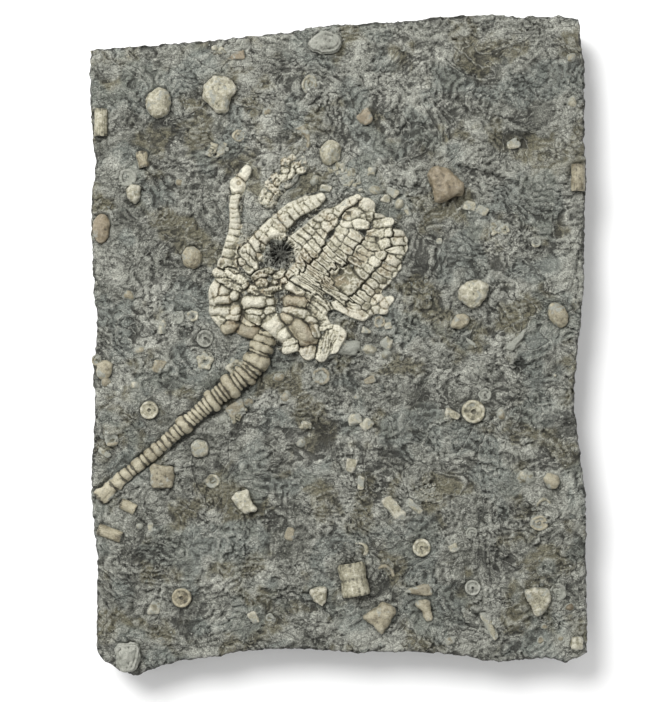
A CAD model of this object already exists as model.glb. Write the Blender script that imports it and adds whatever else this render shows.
"""Dresses the crinoid fossil: the limestone slab, the stem, cup and arms, and the loose ossicles."""

import itertools
import logging
import math
from dataclasses import dataclass, field, replace
from enum import Enum, IntEnum
from typing import Callable, Iterable, NamedTuple, Sequence

import bmesh
import bpy
import numpy as np
from mathutils import Vector
from mathutils.bvhtree import BVHTree
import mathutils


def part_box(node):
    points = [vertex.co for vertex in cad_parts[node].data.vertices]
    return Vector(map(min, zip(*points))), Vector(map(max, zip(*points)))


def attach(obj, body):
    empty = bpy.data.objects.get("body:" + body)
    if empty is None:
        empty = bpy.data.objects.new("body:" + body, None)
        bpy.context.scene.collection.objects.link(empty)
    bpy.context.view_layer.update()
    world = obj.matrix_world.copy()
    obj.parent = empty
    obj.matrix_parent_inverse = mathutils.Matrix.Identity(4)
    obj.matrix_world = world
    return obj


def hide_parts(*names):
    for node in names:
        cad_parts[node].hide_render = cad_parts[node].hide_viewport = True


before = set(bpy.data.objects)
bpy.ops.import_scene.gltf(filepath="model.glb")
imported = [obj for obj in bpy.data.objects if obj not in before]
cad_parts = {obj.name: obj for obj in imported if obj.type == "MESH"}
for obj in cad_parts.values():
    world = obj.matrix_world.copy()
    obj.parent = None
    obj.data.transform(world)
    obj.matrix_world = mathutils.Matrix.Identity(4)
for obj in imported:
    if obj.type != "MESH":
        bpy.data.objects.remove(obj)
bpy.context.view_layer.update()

log = logging.getLogger("crinoid_slab")

MM = 0.001
BODY = "root"
Colour = tuple[float, float, float]
Point = tuple[float, float]


class Seed(IntEnum):
    """The numbers that fix each noise and each run of random draws."""

    STEM_JOINTS = 5
    PLATE_TILTS = 6
    PLATE_TONES = 9
    BEDDING = 11
    EDGE_CHIPS = 17
    BEDDING_STAINS = 23
    WALLS = 31
    STEM_WEAR = 41
    PLATE_OUTLINES = 41
    PLATE_WEAR = 43
    CROWN_RIM = 44
    CROWN_BED = 45
    CRATER = 47
    CROWN_STAINS = 49
    RUBBLE = 71
    LOOSE = 100


# ---------------------------------------------------------------- noise and arrays

class Noise:
    """Seeded gradient noise over points given in millimetres."""

    PRIMES = (73856093, 19349663, 83492791)
    DIRECTIONS = 64

    def __init__(self, seed: int) -> None:
        """Draws the lattice's gradients.

        Args:
            seed: number that fixes the noise.
        """
        self.seed = seed
        draw = np.random.default_rng(seed)
        self.gradients = {}
        for dimensions in (2, 3):
            arrows = draw.normal(size=(self.DIRECTIONS, dimensions))
            self.gradients[dimensions] = arrows / np.linalg.norm(arrows, axis=1, keepdims=True)

    def plain(self, points: np.ndarray, wavelength: float) -> np.ndarray:
        """One octave.

        Args:
            points: positions, one row each, of two or three coordinates.
            wavelength: size of a lattice cell.

        Returns:
            A value of about -1 to 1 for each point.
        """
        dimensions = points.shape[1]
        scaled = points / wavelength
        cell = np.floor(scaled).astype(np.int64)
        local = scaled - cell
        fade = local**3 * (local * (local * 6 - 15) + 10)
        total = np.zeros(len(points))
        for corner in itertools.product((0, 1), repeat=dimensions):
            lattice = cell + corner
            mixed = np.full(len(points), self.seed * 2654435761 % 2**31, dtype=np.int64)
            for axis in range(dimensions):
                mixed ^= lattice[:, axis] * self.PRIMES[axis]
            mixed = (mixed ^ (mixed >> 13)) * 1274126177
            arrow = self.gradients[dimensions][(mixed ^ (mixed >> 16)) % self.DIRECTIONS]
            weight = np.prod(np.where(corner, fade, 1 - fade), axis=1)
            total += weight * np.einsum("ij,ij->i", arrow, local - corner)
        return total * 1.6

    def fractal(self, points: np.ndarray, wavelength: float, octaves: int, keep: float = 0.5) -> np.ndarray:
        """Octaves summed, each at half the wavelength and a share of the height of the last.

        Args:
            points: positions, one row each.
            wavelength: size of the first octave.
            octaves: how many are summed.
            keep: height of each octave over the one before.

        Returns:
            A value of about -1 to 1 for each point.
        """
        total = np.zeros(len(points))
        height = 1.0
        for octave in range(octaves):
            shifted = points + 37.7 * octave
            total += height * self.plain(shifted, wavelength / 2**octave)
            height *= keep
        return total

    def ridged(self, points: np.ndarray, wavelength: float, octaves: int) -> np.ndarray:
        """Sharp crests with rounded valleys, about 0 to 1."""
        return np.clip(1 - 2.2 * np.abs(self.fractal(points, wavelength, octaves)), 0, 1)


def smoothstep(values: np.ndarray, low: float, high: float) -> np.ndarray:
    """A soft ramp from 0 at low to 1 at high."""
    share = np.clip((values - low) / (high - low), 0, 1)
    return share * share * (3 - 2 * share)


def bell(distance: np.ndarray, width: float) -> np.ndarray:
    """A soft bump: 1 where the distance is 0, and nearly 0 at twice the width."""
    return np.exp(-((distance / width) ** 2))


def round_spot(dx: np.ndarray, dy: np.ndarray, reach: float) -> np.ndarray:
    """A soft round spot: 1 in its middle, and nearly 0 at twice its reach."""
    return np.exp(-(dx**2 + dy**2) / reach**2)


def name_seed(name: str) -> int:
    """A number that fixes the wear of a named piece."""
    return sum(ord(letter) for letter in name)


def blurred(grid: np.ndarray, cells: float) -> np.ndarray:
    """A grid blurred with a Gaussian.

    Args:
        grid: the values.
        cells: the Gaussian's standard deviation in cells.

    Returns:
        The blurred grid, of the same shape.
    """
    reach = max(1, int(math.ceil(cells * 2.5)))
    steps = np.arange(-reach, reach + 1)
    weights = np.exp(-0.5 * (steps / cells) ** 2)
    weights /= weights.sum()
    result = grid
    for axis in (0, 1):
        padding = [(reach, reach) if index == axis else (0, 0) for index in (0, 1)]
        padded = np.pad(result, padding, mode="edge")
        length = result.shape[axis]
        result = sum(
            weight * np.take(padded, np.arange(start, start + length), axis=axis)
            for start, weight in enumerate(weights)
        )
    return result


def standing_off(grid: np.ndarray, cells: float, depth: float) -> np.ndarray:
    """How far a grid stands off its own blurred copy, as a share of a depth."""
    return (grid - blurred(grid, cells)) / depth


# ---------------------------------------------------------------- shapes made of arrays

@dataclass
class Shape:
    """A mesh as arrays: corners in millimetres, faces, and marks that the finishes read.

    A mark is one number for each corner: relief (-1 in a hollow, 1 on a crest), root (1 where
    the rock meets it), shade (-1 dark, 1 pale), stain and tint (0 to 1).
    """

    corners: np.ndarray
    faces: list
    marks: dict = field(default_factory=dict)

    def moved(self, matrix: np.ndarray, place: Sequence[float]) -> "Shape":
        """A copy turned by a 3 by 3 matrix and moved to a place."""
        return Shape(self.corners @ np.asarray(matrix).T + np.asarray(place), self.faces, dict(self.marks))

    def mark(self, label: str, values: np.ndarray | float) -> "Shape":
        """Sets a mark on every corner and returns the shape."""
        self.marks[label] = np.zeros(len(self.corners)) + values
        return self

    def edges(self) -> np.ndarray:
        """Every edge once, as pairs of corner numbers."""
        pairs = set()
        for face in self.faces:
            for first, second in zip(face, (*face[1:], face[0])):
                pairs.add((first, second) if first < second else (second, first))
        return np.array(sorted(pairs))

    def normals(self) -> np.ndarray:
        """The unit normal at each corner."""
        total = np.zeros_like(self.corners)
        for size in {len(face) for face in self.faces}:
            rows = np.array([face for face in self.faces if len(face) == size])
            points = self.corners[rows]
            across = points[:, 2 % size] - points[:, 0]
            up = points[:, 3 % size] - points[:, 1]
            flat = np.cross(across, up) if size == 4 else np.cross(points[:, 1] - points[:, 0], across)
            for column in range(size):
                np.add.at(total, rows[:, column], flat)
        return total / np.maximum(np.linalg.norm(total, axis=1, keepdims=True), 1e-12)

    def eased(self, rounds: int, share: float = 0.5) -> np.ndarray:
        """The corners after some rounds of moving each towards its neighbours' middle."""
        pairs = self.edges()
        both = np.vstack([pairs, pairs[:, ::-1]])
        count = np.bincount(both[:, 0], minlength=len(self.corners))[:, None]
        corners = self.corners.copy()
        for _ in range(rounds):
            total = np.column_stack([
                np.bincount(both[:, 0], weights=corners[both[:, 1], axis], minlength=len(corners))
                for axis in range(3)
            ])
            corners += share * (total / count - corners)
        return corners

    def mark_relief(self, depth: float, rounds: int = 6) -> "Shape":
        """Marks hollows and crests by how far each corner stands off its eased place.

        Args:
            depth: the height that counts as a full crest, in millimetres.
            rounds: how wide the eased surface looks.

        Returns:
            The shape itself.
        """
        off = np.einsum("ij,ij->i", self.corners - self.eased(rounds), self.normals())
        return self.mark("relief", np.clip(off / depth, -1, 1))

    def mark_root(self, rock: "Surface", reach: float) -> "Shape":
        """Marks the corners that lie within reach of the rock below them."""
        ground = rock.heights(self.corners[:, :2])
        above = self.corners[:, 2] - np.where(np.isnan(ground), self.corners[:, 2] - reach, ground)
        return self.mark("root", 1 - smoothstep(above, 0.0, reach))


def joined(shapes: Iterable[Shape]) -> Shape:
    """Several shapes as one, with all their marks."""
    shapes = list(shapes)
    faces, start = [], 0
    for shape in shapes:
        faces.extend(tuple(index + start for index in face) for face in shape.faces)
        start += len(shape.corners)
    labels = {label for shape in shapes for label in shape.marks}
    marks = {
        label: np.concatenate([shape.marks.get(label, np.zeros(len(shape.corners))) for shape in shapes])
        for label in sorted(labels)
    }
    return Shape(np.vstack([shape.corners for shape in shapes]), faces, marks)


def grid_faces(rows: int, columns: int, wrapped: bool) -> list:
    """Quads of a grid of corners numbered row by row.

    Args:
        rows: corners along the first direction.
        columns: corners along the second.
        wrapped: whether the last column joins the first.

    Returns:
        The quads.
    """
    numbers = np.arange(rows * columns).reshape(rows, columns)
    if wrapped:
        numbers = np.hstack([numbers, numbers[:, :1]])
    low, high = numbers[:-1], numbers[1:]
    quads = np.stack([low[:, :-1], low[:, 1:], high[:, 1:], high[:, :-1]], axis=-1)
    return [tuple(quad) for quad in quads.reshape(-1, 4).tolist()]


def tube(rings: np.ndarray) -> Shape:
    """A closed tube through rings of corners.

    Args:
        rings: an array of shape (rings, sides, 3), each ring counterclockwise about the way on.

    Returns:
        The tube, with a fan at each end.
    """
    count, sides, _ = rings.shape
    ends = np.vstack([rings[0].mean(axis=0), rings[-1].mean(axis=0)])
    corners = np.vstack([rings.reshape(-1, 3), ends])
    faces = grid_faces(count, sides, wrapped=True)
    first, last = count * sides, count * sides + 1
    for side in range(sides):
        after = (side + 1) % sides
        faces.append((after, side, first))
        faces.append(((count - 1) * sides + side, (count - 1) * sides + after, last))
    return Shape(corners, faces)


def turned(profile: Sequence[Point], sides: int, ripple: Callable | None = None) -> Shape:
    """A shape turned about +Z.

    Args:
        profile: (radius, height) from the bottom to the top, off the axis.
        sides: corners round the axis.
        ripple: gives the height to add at (radius, angle).

    Returns:
        The closed shape.
    """
    turns = np.arange(sides) * math.tau / sides
    rings = np.zeros((len(profile), sides, 3))
    for index, (radius, height) in enumerate(profile):
        rings[index, :, 0] = radius * np.cos(turns)
        rings[index, :, 1] = radius * np.sin(turns)
        rings[index, :, 2] = height + (ripple(radius, turns) if ripple else 0.0)
    return tube(rings)


def lump(detail: int) -> Shape:
    """A unit ball of small triangles, to be squashed and roughened."""
    ball = bmesh.new()
    bmesh.ops.create_icosphere(ball, subdivisions=detail, radius=1.0)
    corners = np.array([vert.co for vert in ball.verts])
    shape = Shape(corners, [tuple(vert.index for vert in face.verts) for face in ball.faces])
    ball.free()
    return shape


def turn_about_z(degrees: float) -> np.ndarray:
    """The matrix of a turn about +Z."""
    angle = math.radians(degrees)
    cosine, sine = math.cos(angle), math.sin(angle)
    return np.array([[cosine, -sine, 0], [sine, cosine, 0], [0, 0, 1]])


def lying(degrees: float, dip: float = 0.0) -> np.ndarray:
    """The matrix that lays a shape's +Z down along a heading.

    Args:
        degrees: the heading, counterclockwise from +X.
        dip: how far the far end rises, in degrees.

    Returns:
        A 3 by 3 matrix.
    """
    tip = math.radians(90 - dip)
    down = np.array([[math.cos(tip), 0, math.sin(tip)], [0, 1, 0], [-math.sin(tip), 0, math.cos(tip)]])
    return turn_about_z(degrees) @ down


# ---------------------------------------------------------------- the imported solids

def node_shape(*names: str) -> Shape:
    """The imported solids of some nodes, welded, in millimetres."""
    parts = []
    for name in names:
        welded = bmesh.new()
        welded.from_mesh(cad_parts[name].data)
        bmesh.ops.remove_doubles(welded, verts=welded.verts, dist=0.001 * MM)
        welded.verts.index_update()
        corners = np.array([vert.co for vert in welded.verts]) / MM
        parts.append(Shape(corners, [tuple(v.index for v in face.verts) for face in welded.faces]))
        welded.free()
    return joined(parts)


class Surface:
    """A surface that vertical rays look down on, in millimetres."""

    ABOVE = 80.0

    def __init__(self, shape: Shape) -> None:
        """Prepares a shape for rays."""
        self.tree = BVHTree.FromPolygons(shape.corners.tolist(), shape.faces)

    def heights(self, places: np.ndarray) -> np.ndarray:
        """Height of the surface at each place, and nan where there is none."""
        down = Vector((0, 0, -1))
        cast = self.tree.ray_cast
        result = np.full(len(places), np.nan)
        for index, (x, y) in enumerate(places.tolist()):
            hit = cast((x, y, self.ABOVE), down)[0]
            if hit is not None:
                result[index] = hit.z
        return result

    def reach(self, start: Point, heading: Point, longest: float) -> float:
        """How far the surface goes from a place on it, along a heading, to within 0.02 mm."""
        near, far = 0.0, longest
        while far - near > 0.02:
            middle = (near + far) / 2
            spot = np.array([[start[0] + heading[0] * middle, start[1] + heading[1] * middle]])
            if np.isnan(self.heights(spot)[0]):
                far = middle
            else:
                near = middle
        return near


def fossil_surface() -> Surface:
    """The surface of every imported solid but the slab."""
    return Surface(node_shape(*(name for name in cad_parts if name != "slab")))


# ---------------------------------------------------------------- shader groups

class Socket(Enum):
    """Kinds of socket that a shader group has."""

    VALUE = "NodeSocketFloat"
    COLOUR = "NodeSocketColor"
    VECTOR = "NodeSocketVector"


class Tree:
    """A node tree with short ways to add, set and join nodes."""

    def __init__(self, tree: bpy.types.NodeTree) -> None:
        """Wraps a node tree."""
        self.tree = tree

    def add(self, kind: str, **settings: object) -> bpy.types.Node:
        """A new node of a kind, with its properties set."""
        node = self.tree.nodes.new(kind)
        for name, value in settings.items():
            setattr(node, name, value)
        return node

    def join(self, source: bpy.types.NodeSocket, target: bpy.types.NodeSocket) -> None:
        """Links an output to an input."""
        self.tree.links.new(source, target)

    def feed(self, target: bpy.types.NodeSocket, value: object) -> None:
        """Links a socket to an input, or sets the input to a number or colour."""
        if isinstance(value, bpy.types.NodeSocket):
            self.join(value, target)
        elif isinstance(value, tuple) and len(value) == 3 and target.type == "RGBA":
            target.default_value = (*value, 1.0)
        else:
            target.default_value = value

    def math(self, operation: str, *values: object, clamp: bool = False) -> bpy.types.NodeSocket:
        """The result of a Math node."""
        node = self.add("ShaderNodeMath", operation=operation, use_clamp=clamp)
        for target, value in zip(node.inputs, values):
            self.feed(target, value)
        return node.outputs[0]

    def mix(self, share: object, first: object, second: object, blend: str = "MIX") -> bpy.types.NodeSocket:
        """Two colours mixed."""
        node = self.add("ShaderNodeMix", data_type="RGBA", blend_type=blend)
        self.feed(node.inputs["Factor"], share)
        self.feed(node.inputs[6], first)
        self.feed(node.inputs[7], second)
        return node.outputs[2]

    def ramp(self, value: object, low: object, high: object) -> bpy.types.NodeSocket:
        """A value taken from the range low to high onto 0 to 1, clamped and smooth."""
        node = self.add("ShaderNodeMapRange", interpolation_type="SMOOTHSTEP")
        for target, number in zip(node.inputs, (value, low, high)):
            self.feed(target, number)
        return node.outputs[0]

    def mark(self, label: str) -> bpy.types.NodeSocket:
        """One of the mesh's marks."""
        return self.add("ShaderNodeAttribute", attribute_name=label).outputs["Fac"]

    def noise(self, where: object, size: object, detail: float, rough: float = 0.6,
              warp: float = 0.0) -> bpy.types.NodeSocket:
        """Noise whose cells are size millimetres across."""
        node = self.add("ShaderNodeTexNoise")
        self.feed(node.inputs["Vector"], where)
        self.feed(node.inputs["Scale"], self.math("DIVIDE", 1 / MM, size))
        self.feed(node.inputs["Detail"], detail)
        self.feed(node.inputs["Roughness"], rough)
        self.feed(node.inputs["Distortion"], warp)
        return node.outputs["Fac"]


class Group(Tree):
    """A shader group that is built once and placed in many materials."""

    def __init__(self, name: str, inputs: dict, outputs: dict) -> None:
        """Makes the empty group.

        Args:
            name: the group's name.
            inputs: name of each input and its kind and value.
            outputs: name of each output and its kind.
        """
        super().__init__(bpy.data.node_groups.new(name, "ShaderNodeTree"))
        for label, (kind, value) in inputs.items():
            socket = self.tree.interface.new_socket(name=label, in_out="INPUT", socket_type=kind.value)
            socket.default_value = (*value, 1.0) if kind is Socket.COLOUR else value
        for label, kind in outputs.items():
            self.tree.interface.new_socket(name=label, in_out="OUTPUT", socket_type=kind.value)
        self.inputs = self.add("NodeGroupInput").outputs
        self.outputs = self.add("NodeGroupOutput").inputs

    def place(self, tree: Tree, **values: object) -> bpy.types.NodeOutputs:
        """Puts the group in a material.

        Args:
            tree: the material's tree.
            values: numbers, colours or sockets for the inputs, with _ for a space.

        Returns:
            The group node's outputs.
        """
        node = tree.add("ShaderNodeGroup", node_tree=self.tree)
        for label, value in values.items():
            tree.feed(node.inputs[label.replace("_", " ")], value)
        return node.outputs


def mottle_group() -> Group:
    """Patches of three colours, with pale flecks and dark specks."""
    group = Group("mottled_stone", {
        "Where": (Socket.VECTOR, (0.0, 0.0, 0.0)), "Pale": (Socket.COLOUR, (0.6, 0.6, 0.55)),
        "Middle": (Socket.COLOUR, (0.3, 0.3, 0.3)), "Deep": (Socket.COLOUR, (0.1, 0.1, 0.1)),
        "Patch Size": (Socket.VALUE, 6.0), "Fleck Size": (Socket.VALUE, 0.9),
        "Flecks": (Socket.VALUE, 0.5),
    }, {"Color": Socket.COLOUR})
    where = group.inputs["Where"]
    patches = group.noise(where, group.inputs["Patch Size"], 6.0, 0.62, 0.6)
    deep_share = group.ramp(patches, 0.52, 0.34)
    pale_share = group.ramp(patches, 0.5, 0.72)
    colour = group.mix(deep_share, group.inputs["Middle"], group.inputs["Deep"])
    colour = group.mix(pale_share, colour, group.inputs["Pale"])
    flecks = group.noise(where, group.inputs["Fleck Size"], 3.0, 0.7)
    fleck_share = group.math("MULTIPLY", group.ramp(flecks, 0.52, 0.66), group.inputs["Flecks"])
    colour = group.mix(fleck_share, colour, group.inputs["Pale"])
    speck_share = group.math("MULTIPLY", group.ramp(flecks, 0.47, 0.35), group.inputs["Flecks"])
    colour = group.mix(speck_share, colour, group.inputs["Deep"])
    group.join(colour, group.outputs["Color"])
    return group


def grain_group() -> Group:
    """Height of the sugary grain of weathered stone, at three sizes."""
    group = Group("stone_grain", {
        "Where": (Socket.VECTOR, (0.0, 0.0, 0.0)), "Coarse Size": (Socket.VALUE, 1.2),
        "Fine Size": (Socket.VALUE, 0.3), "Pits": (Socket.VALUE, 0.4),
    }, {"Height": Socket.VALUE, "Pit Mask": Socket.VALUE})
    where = group.inputs["Where"]
    coarse = group.noise(where, group.inputs["Coarse Size"], 4.0, 0.65)
    fine = group.noise(where, group.inputs["Fine Size"], 3.0, 0.7)
    cells = group.add("ShaderNodeTexVoronoi", feature="F1")
    group.join(where, cells.inputs["Vector"])
    group.join(group.math("DIVIDE", 0.8 / MM, group.inputs["Coarse Size"]), cells.inputs["Scale"])
    pits = group.math("MULTIPLY", group.ramp(cells.outputs["Distance"], 0.28, 0.08), group.inputs["Pits"])
    height = group.math("MULTIPLY_ADD", fine, 0.8, coarse)
    group.join(group.math("SUBTRACT", height, pits), group.outputs["Height"])
    group.join(pits, group.outputs["Pit Mask"])
    return group


def crinkle_group() -> Group:
    """Rock cleaved into little facets, with dark creases between some of them."""
    group = Group("crinkled_rock", {
        "Where": (Socket.VECTOR, (0.0, 0.0, 0.0)), "Size": (Socket.VALUE, 1.2),
        "Creases": (Socket.VALUE, 0.6),
    }, {"Height": Socket.VALUE, "Crease Mask": Socket.VALUE})
    where, size = group.inputs["Where"], group.inputs["Size"]
    drawn = group.add("ShaderNodeMapping")
    group.join(where, drawn.inputs["Vector"])
    drawn.inputs["Rotation"].default_value = (0.0, 0.0, math.radians(38))
    drawn.inputs["Scale"].default_value = (0.62, 1.25, 1.0)
    where = drawn.outputs["Vector"]
    drift = group.add("ShaderNodeTexNoise")
    group.join(where, drift.inputs["Vector"])
    group.join(group.math("DIVIDE", 0.9 / MM, size), drift.inputs["Scale"])
    drift.inputs["Detail"].default_value = 3.0
    bend = group.add("ShaderNodeVectorMath", operation="MULTIPLY_ADD")
    group.join(drift.outputs["Color"], bend.inputs[0])
    bend.inputs[1].default_value = (2.2 * MM, 2.2 * MM, 2.2 * MM)
    group.join(where, bend.inputs[2])
    heights = []
    for share, metric in ((1.0, "CHEBYCHEV"), (2.3, "MANHATTAN")):
        cells = group.add("ShaderNodeTexVoronoi", feature="F1", distance=metric)
        group.join(bend.outputs["Vector"], cells.inputs["Vector"])
        group.join(group.math("DIVIDE", share / MM, size), cells.inputs["Scale"])
        heights.append(group.math("MULTIPLY", cells.outputs["Distance"], 0.9 / share))
    edges = group.add("ShaderNodeTexVoronoi", feature="DISTANCE_TO_EDGE")
    group.join(bend.outputs["Vector"], edges.inputs["Vector"])
    group.join(group.math("DIVIDE", 0.62 / MM, size), edges.inputs["Scale"])
    where_cracked = group.ramp(group.noise(where, group.math("MULTIPLY", size, 4.0), 3.0), 0.44, 0.6)
    crease = group.math("MULTIPLY", group.ramp(edges.outputs["Distance"], 0.075, 0.0), where_cracked)
    crease = group.math("MULTIPLY", crease, group.inputs["Creases"])
    height = group.math("SUBTRACT", group.math("ADD", *heights), crease)
    group.join(height, group.outputs["Height"])
    group.join(crease, group.outputs["Crease Mask"])
    return group


def sheet_group() -> Group:
    """Wavy sheets of rock that lap over one another, each with a pale lip and a dark foot."""
    group = Group("lapped_sheets", {
        "Where": (Socket.VECTOR, (0.0, 0.0, 0.0)), "Size": (Socket.VALUE, 6.0),
        "Sheets": (Socket.VALUE, 8.0),
    }, {"Height": Socket.VALUE, "Lip Mask": Socket.VALUE, "Foot Mask": Socket.VALUE})
    where = group.inputs["Where"]
    folds = group.noise(where, group.inputs["Size"], 4.0, 0.42, 0.7)
    share = group.math("FRACT", group.math("MULTIPLY", folds, group.inputs["Sheets"]))
    drop = group.ramp(share, 0.93, 1.0)
    group.join(group.math("MULTIPLY", share, group.math("SUBTRACT", 1.0, drop)), group.outputs["Height"])
    shown = group.ramp(group.noise(where, group.math("MULTIPLY", group.inputs["Size"], 1.3), 4.0), 0.4, 0.58)
    lip = group.math("MULTIPLY", group.ramp(share, 0.84, 0.94), group.math("SUBTRACT", 1.0, drop))
    group.join(group.math("MULTIPLY", lip, shown), group.outputs["Lip Mask"])
    group.join(group.math("MULTIPLY", group.ramp(share, 0.12, 0.01), shown), group.outputs["Foot Mask"])
    return group


def grime_group() -> Group:
    """Dirt in hollows and at roots, and pale wear on crests."""
    group = Group("dirt_and_wear", {
        "Color": (Socket.COLOUR, (0.5, 0.5, 0.5)), "Dirt": (Socket.COLOUR, (0.03, 0.03, 0.025)),
        "Worn": (Socket.COLOUR, (0.8, 0.78, 0.7)), "Relief": (Socket.VALUE, 0.0),
        "Root": (Socket.VALUE, 0.0), "Dirt Amount": (Socket.VALUE, 0.8),
        "Wear Amount": (Socket.VALUE, 0.4), "Break Up": (Socket.VALUE, 0.5),
    }, {"Color": Socket.COLOUR, "Dirt Mask": Socket.VALUE, "Wear Mask": Socket.VALUE})
    shift = group.math("MULTIPLY", group.math("SUBTRACT", group.inputs["Break Up"], 0.5), 0.9)
    relief = group.math("ADD", group.inputs["Relief"], shift)
    hollow = group.ramp(relief, 0.05, -0.75)
    rooted = group.math("MULTIPLY", group.inputs["Root"], 0.9)
    held = group.math("MAXIMUM", hollow, rooted)
    dirt = group.math("MULTIPLY", held, group.inputs["Dirt Amount"], clamp=True)
    wear = group.math("MULTIPLY", group.ramp(relief, 0.15, 0.9), group.inputs["Wear Amount"], clamp=True)
    colour = group.mix(wear, group.inputs["Color"], group.inputs["Worn"])
    group.join(group.mix(dirt, colour, group.inputs["Dirt"]), group.outputs["Color"])
    group.join(dirt, group.outputs["Dirt Mask"])
    group.join(wear, group.outputs["Wear Mask"])
    return group


def film_group() -> Group:
    """A thin film of grey rock left on a fossil, in scraps that close up towards its root."""
    group = Group("rock_film", {
        "Where": (Socket.VECTOR, (0.0, 0.0, 0.0)), "Color": (Socket.COLOUR, (0.5, 0.5, 0.5)),
        "Rock": (Socket.COLOUR, (0.2, 0.2, 0.18)), "Root": (Socket.VALUE, 0.0),
        "Amount": (Socket.VALUE, 0.5), "Scrap Size": (Socket.VALUE, 2.8),
    }, {"Color": Socket.COLOUR})
    scraps = group.noise(group.inputs["Where"], group.inputs["Scrap Size"], 5.0, 0.68, 0.4)
    grown = group.math("MULTIPLY_ADD", group.inputs["Root"], 0.55, scraps)
    level = group.math("MULTIPLY_ADD", group.inputs["Amount"], -0.2, 0.76)
    mask = group.ramp(grown, level, group.math("ADD", level, 0.09))
    group.join(group.mix(mask, group.inputs["Color"], group.inputs["Rock"]), group.outputs["Color"])
    return group


@dataclass
class Groups:
    """The shader groups that the finishes share."""

    mottle: Group = field(default_factory=mottle_group)
    grain: Group = field(default_factory=grain_group)
    crinkle: Group = field(default_factory=crinkle_group)
    sheet: Group = field(default_factory=sheet_group)
    grime: Group = field(default_factory=grime_group)
    film: Group = field(default_factory=film_group)


# ---------------------------------------------------------------- finishes

@dataclass(frozen=True)
class StoneFinish:
    """The look of one kind of stone: three colours, dirt, wear, grain and gloss."""

    slot: str
    pale: Colour
    middle: Colour
    deep: Colour
    dirt: Colour
    worn: Colour
    patch_size: float
    fleck_size: float
    flecks: float
    dirt_amount: float
    wear_amount: float
    roughness: float
    gloss: float
    coarse_grain: float = 0.9
    fine_grain: float = 0.28
    pits: float = 0.35
    bump_depth: float = 0.22
    stain: Colour | None = None
    tint: Colour | None = None
    film: float = 0.0
    crinkle: float = 0.0
    crinkle_size: float = 1.3
    speckle: float = 0.45
    speckle_size: float = 0.36
    sheets: float = 0.0
    sheet_size: float = 21.0

    def material(self, name: str, groups: Groups) -> bpy.types.Material:
        """Builds the finish as a material.

        Args:
            name: the material's name.
            groups: the shared shader groups.

        Returns:
            The material.
        """
        made = bpy.data.materials.new(name)
        made.use_nodes = True
        tree = Tree(made.node_tree)
        shader = made.node_tree.nodes["Principled BSDF"]
        where = tree.add("ShaderNodeTexCoord").outputs["Object"]
        relief, root = tree.mark("relief"), tree.mark("root")
        mottle = groups.mottle.place(
            tree, Where=where, Pale=self.pale, Middle=self.middle, Deep=self.deep,
            Patch_Size=self.patch_size, Fleck_Size=self.fleck_size, Flecks=self.flecks,
        )
        colour = mottle["Color"]
        shade = tree.mark("shade")
        colour = tree.mix(tree.math("MAXIMUM", shade, 0.0), colour, self.pale)
        colour = tree.mix(tree.math("MAXIMUM", tree.math("MULTIPLY", shade, -1.0), 0.0), colour, self.deep)
        for extra, label in ((self.stain, "stain"), (self.tint, "tint")):
            if extra is not None:
                colour = tree.mix(tree.mark(label), colour, extra)
        grain = groups.grain.place(
            tree, Where=where, Coarse_Size=self.coarse_grain, Fine_Size=self.fine_grain, Pits=self.pits,
        )
        breakup = tree.noise(where, self.coarse_grain, 3.0)
        grime = groups.grime.place(
            tree, Color=colour, Dirt=self.dirt, Worn=self.worn, Relief=relief, Root=root,
            Dirt_Amount=self.dirt_amount, Wear_Amount=self.wear_amount, Break_Up=breakup,
        )
        pitted = tree.mix(tree.math("MULTIPLY", grain["Pit Mask"], 0.8), grime["Color"], self.dirt)
        if self.film:
            film = groups.film.place(
                tree, Where=where, Color=pitted, Rock=LIMESTONE.middle, Root=root, Amount=self.film,
            )
            pitted = film["Color"]
        height = grain["Height"]
        for share in (1.0, 0.5) if self.sheets else ():
            sheet = groups.sheet.place(tree, Where=where, Size=share * self.sheet_size)
            pitted = tree.mix(tree.math("MULTIPLY", sheet["Lip Mask"], 0.5), pitted, self.worn)
            pitted = tree.mix(tree.math("MULTIPLY", sheet["Foot Mask"], 0.65), pitted, self.dirt)
            height = tree.math("MULTIPLY_ADD", sheet["Height"], self.sheets * (0.4 + 0.6 * share), height)
        if self.crinkle:
            crinkle = groups.crinkle.place(tree, Where=where, Size=self.crinkle_size, Creases=0.9)
            pitted = tree.mix(tree.math("MULTIPLY", crinkle["Crease Mask"], 0.85), pitted, self.dirt)
            height = tree.math("MULTIPLY_ADD", crinkle["Height"], self.crinkle, height)
        fine = tree.noise(where, self.speckle_size, 2.0, 0.8)
        gain = tree.math("MULTIPLY_ADD", tree.math("SUBTRACT", fine, 0.5), 2.4 * self.speckle, 1.02)
        tree.join(tree.mix(1.0, pitted, gain, "MULTIPLY"), shader.inputs["Base Color"])
        rough = tree.math("MULTIPLY_ADD", grime["Dirt Mask"], 0.3, self.roughness)
        worn_rough = tree.math("MULTIPLY_ADD", grime["Wear Mask"], -0.12, rough)
        tree.join(worn_rough, shader.inputs["Roughness"])
        bump = tree.add("ShaderNodeBump")
        bump.inputs["Strength"].default_value = 1.0
        bump.inputs["Distance"].default_value = self.bump_depth * MM
        tree.join(height, bump.inputs["Height"])
        tree.join(bump.outputs["Normal"], shader.inputs["Normal"])
        shader.inputs["Specular IOR Level"].default_value = self.gloss
        shader.inputs["Metallic"].default_value = 0.0
        return made


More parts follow.
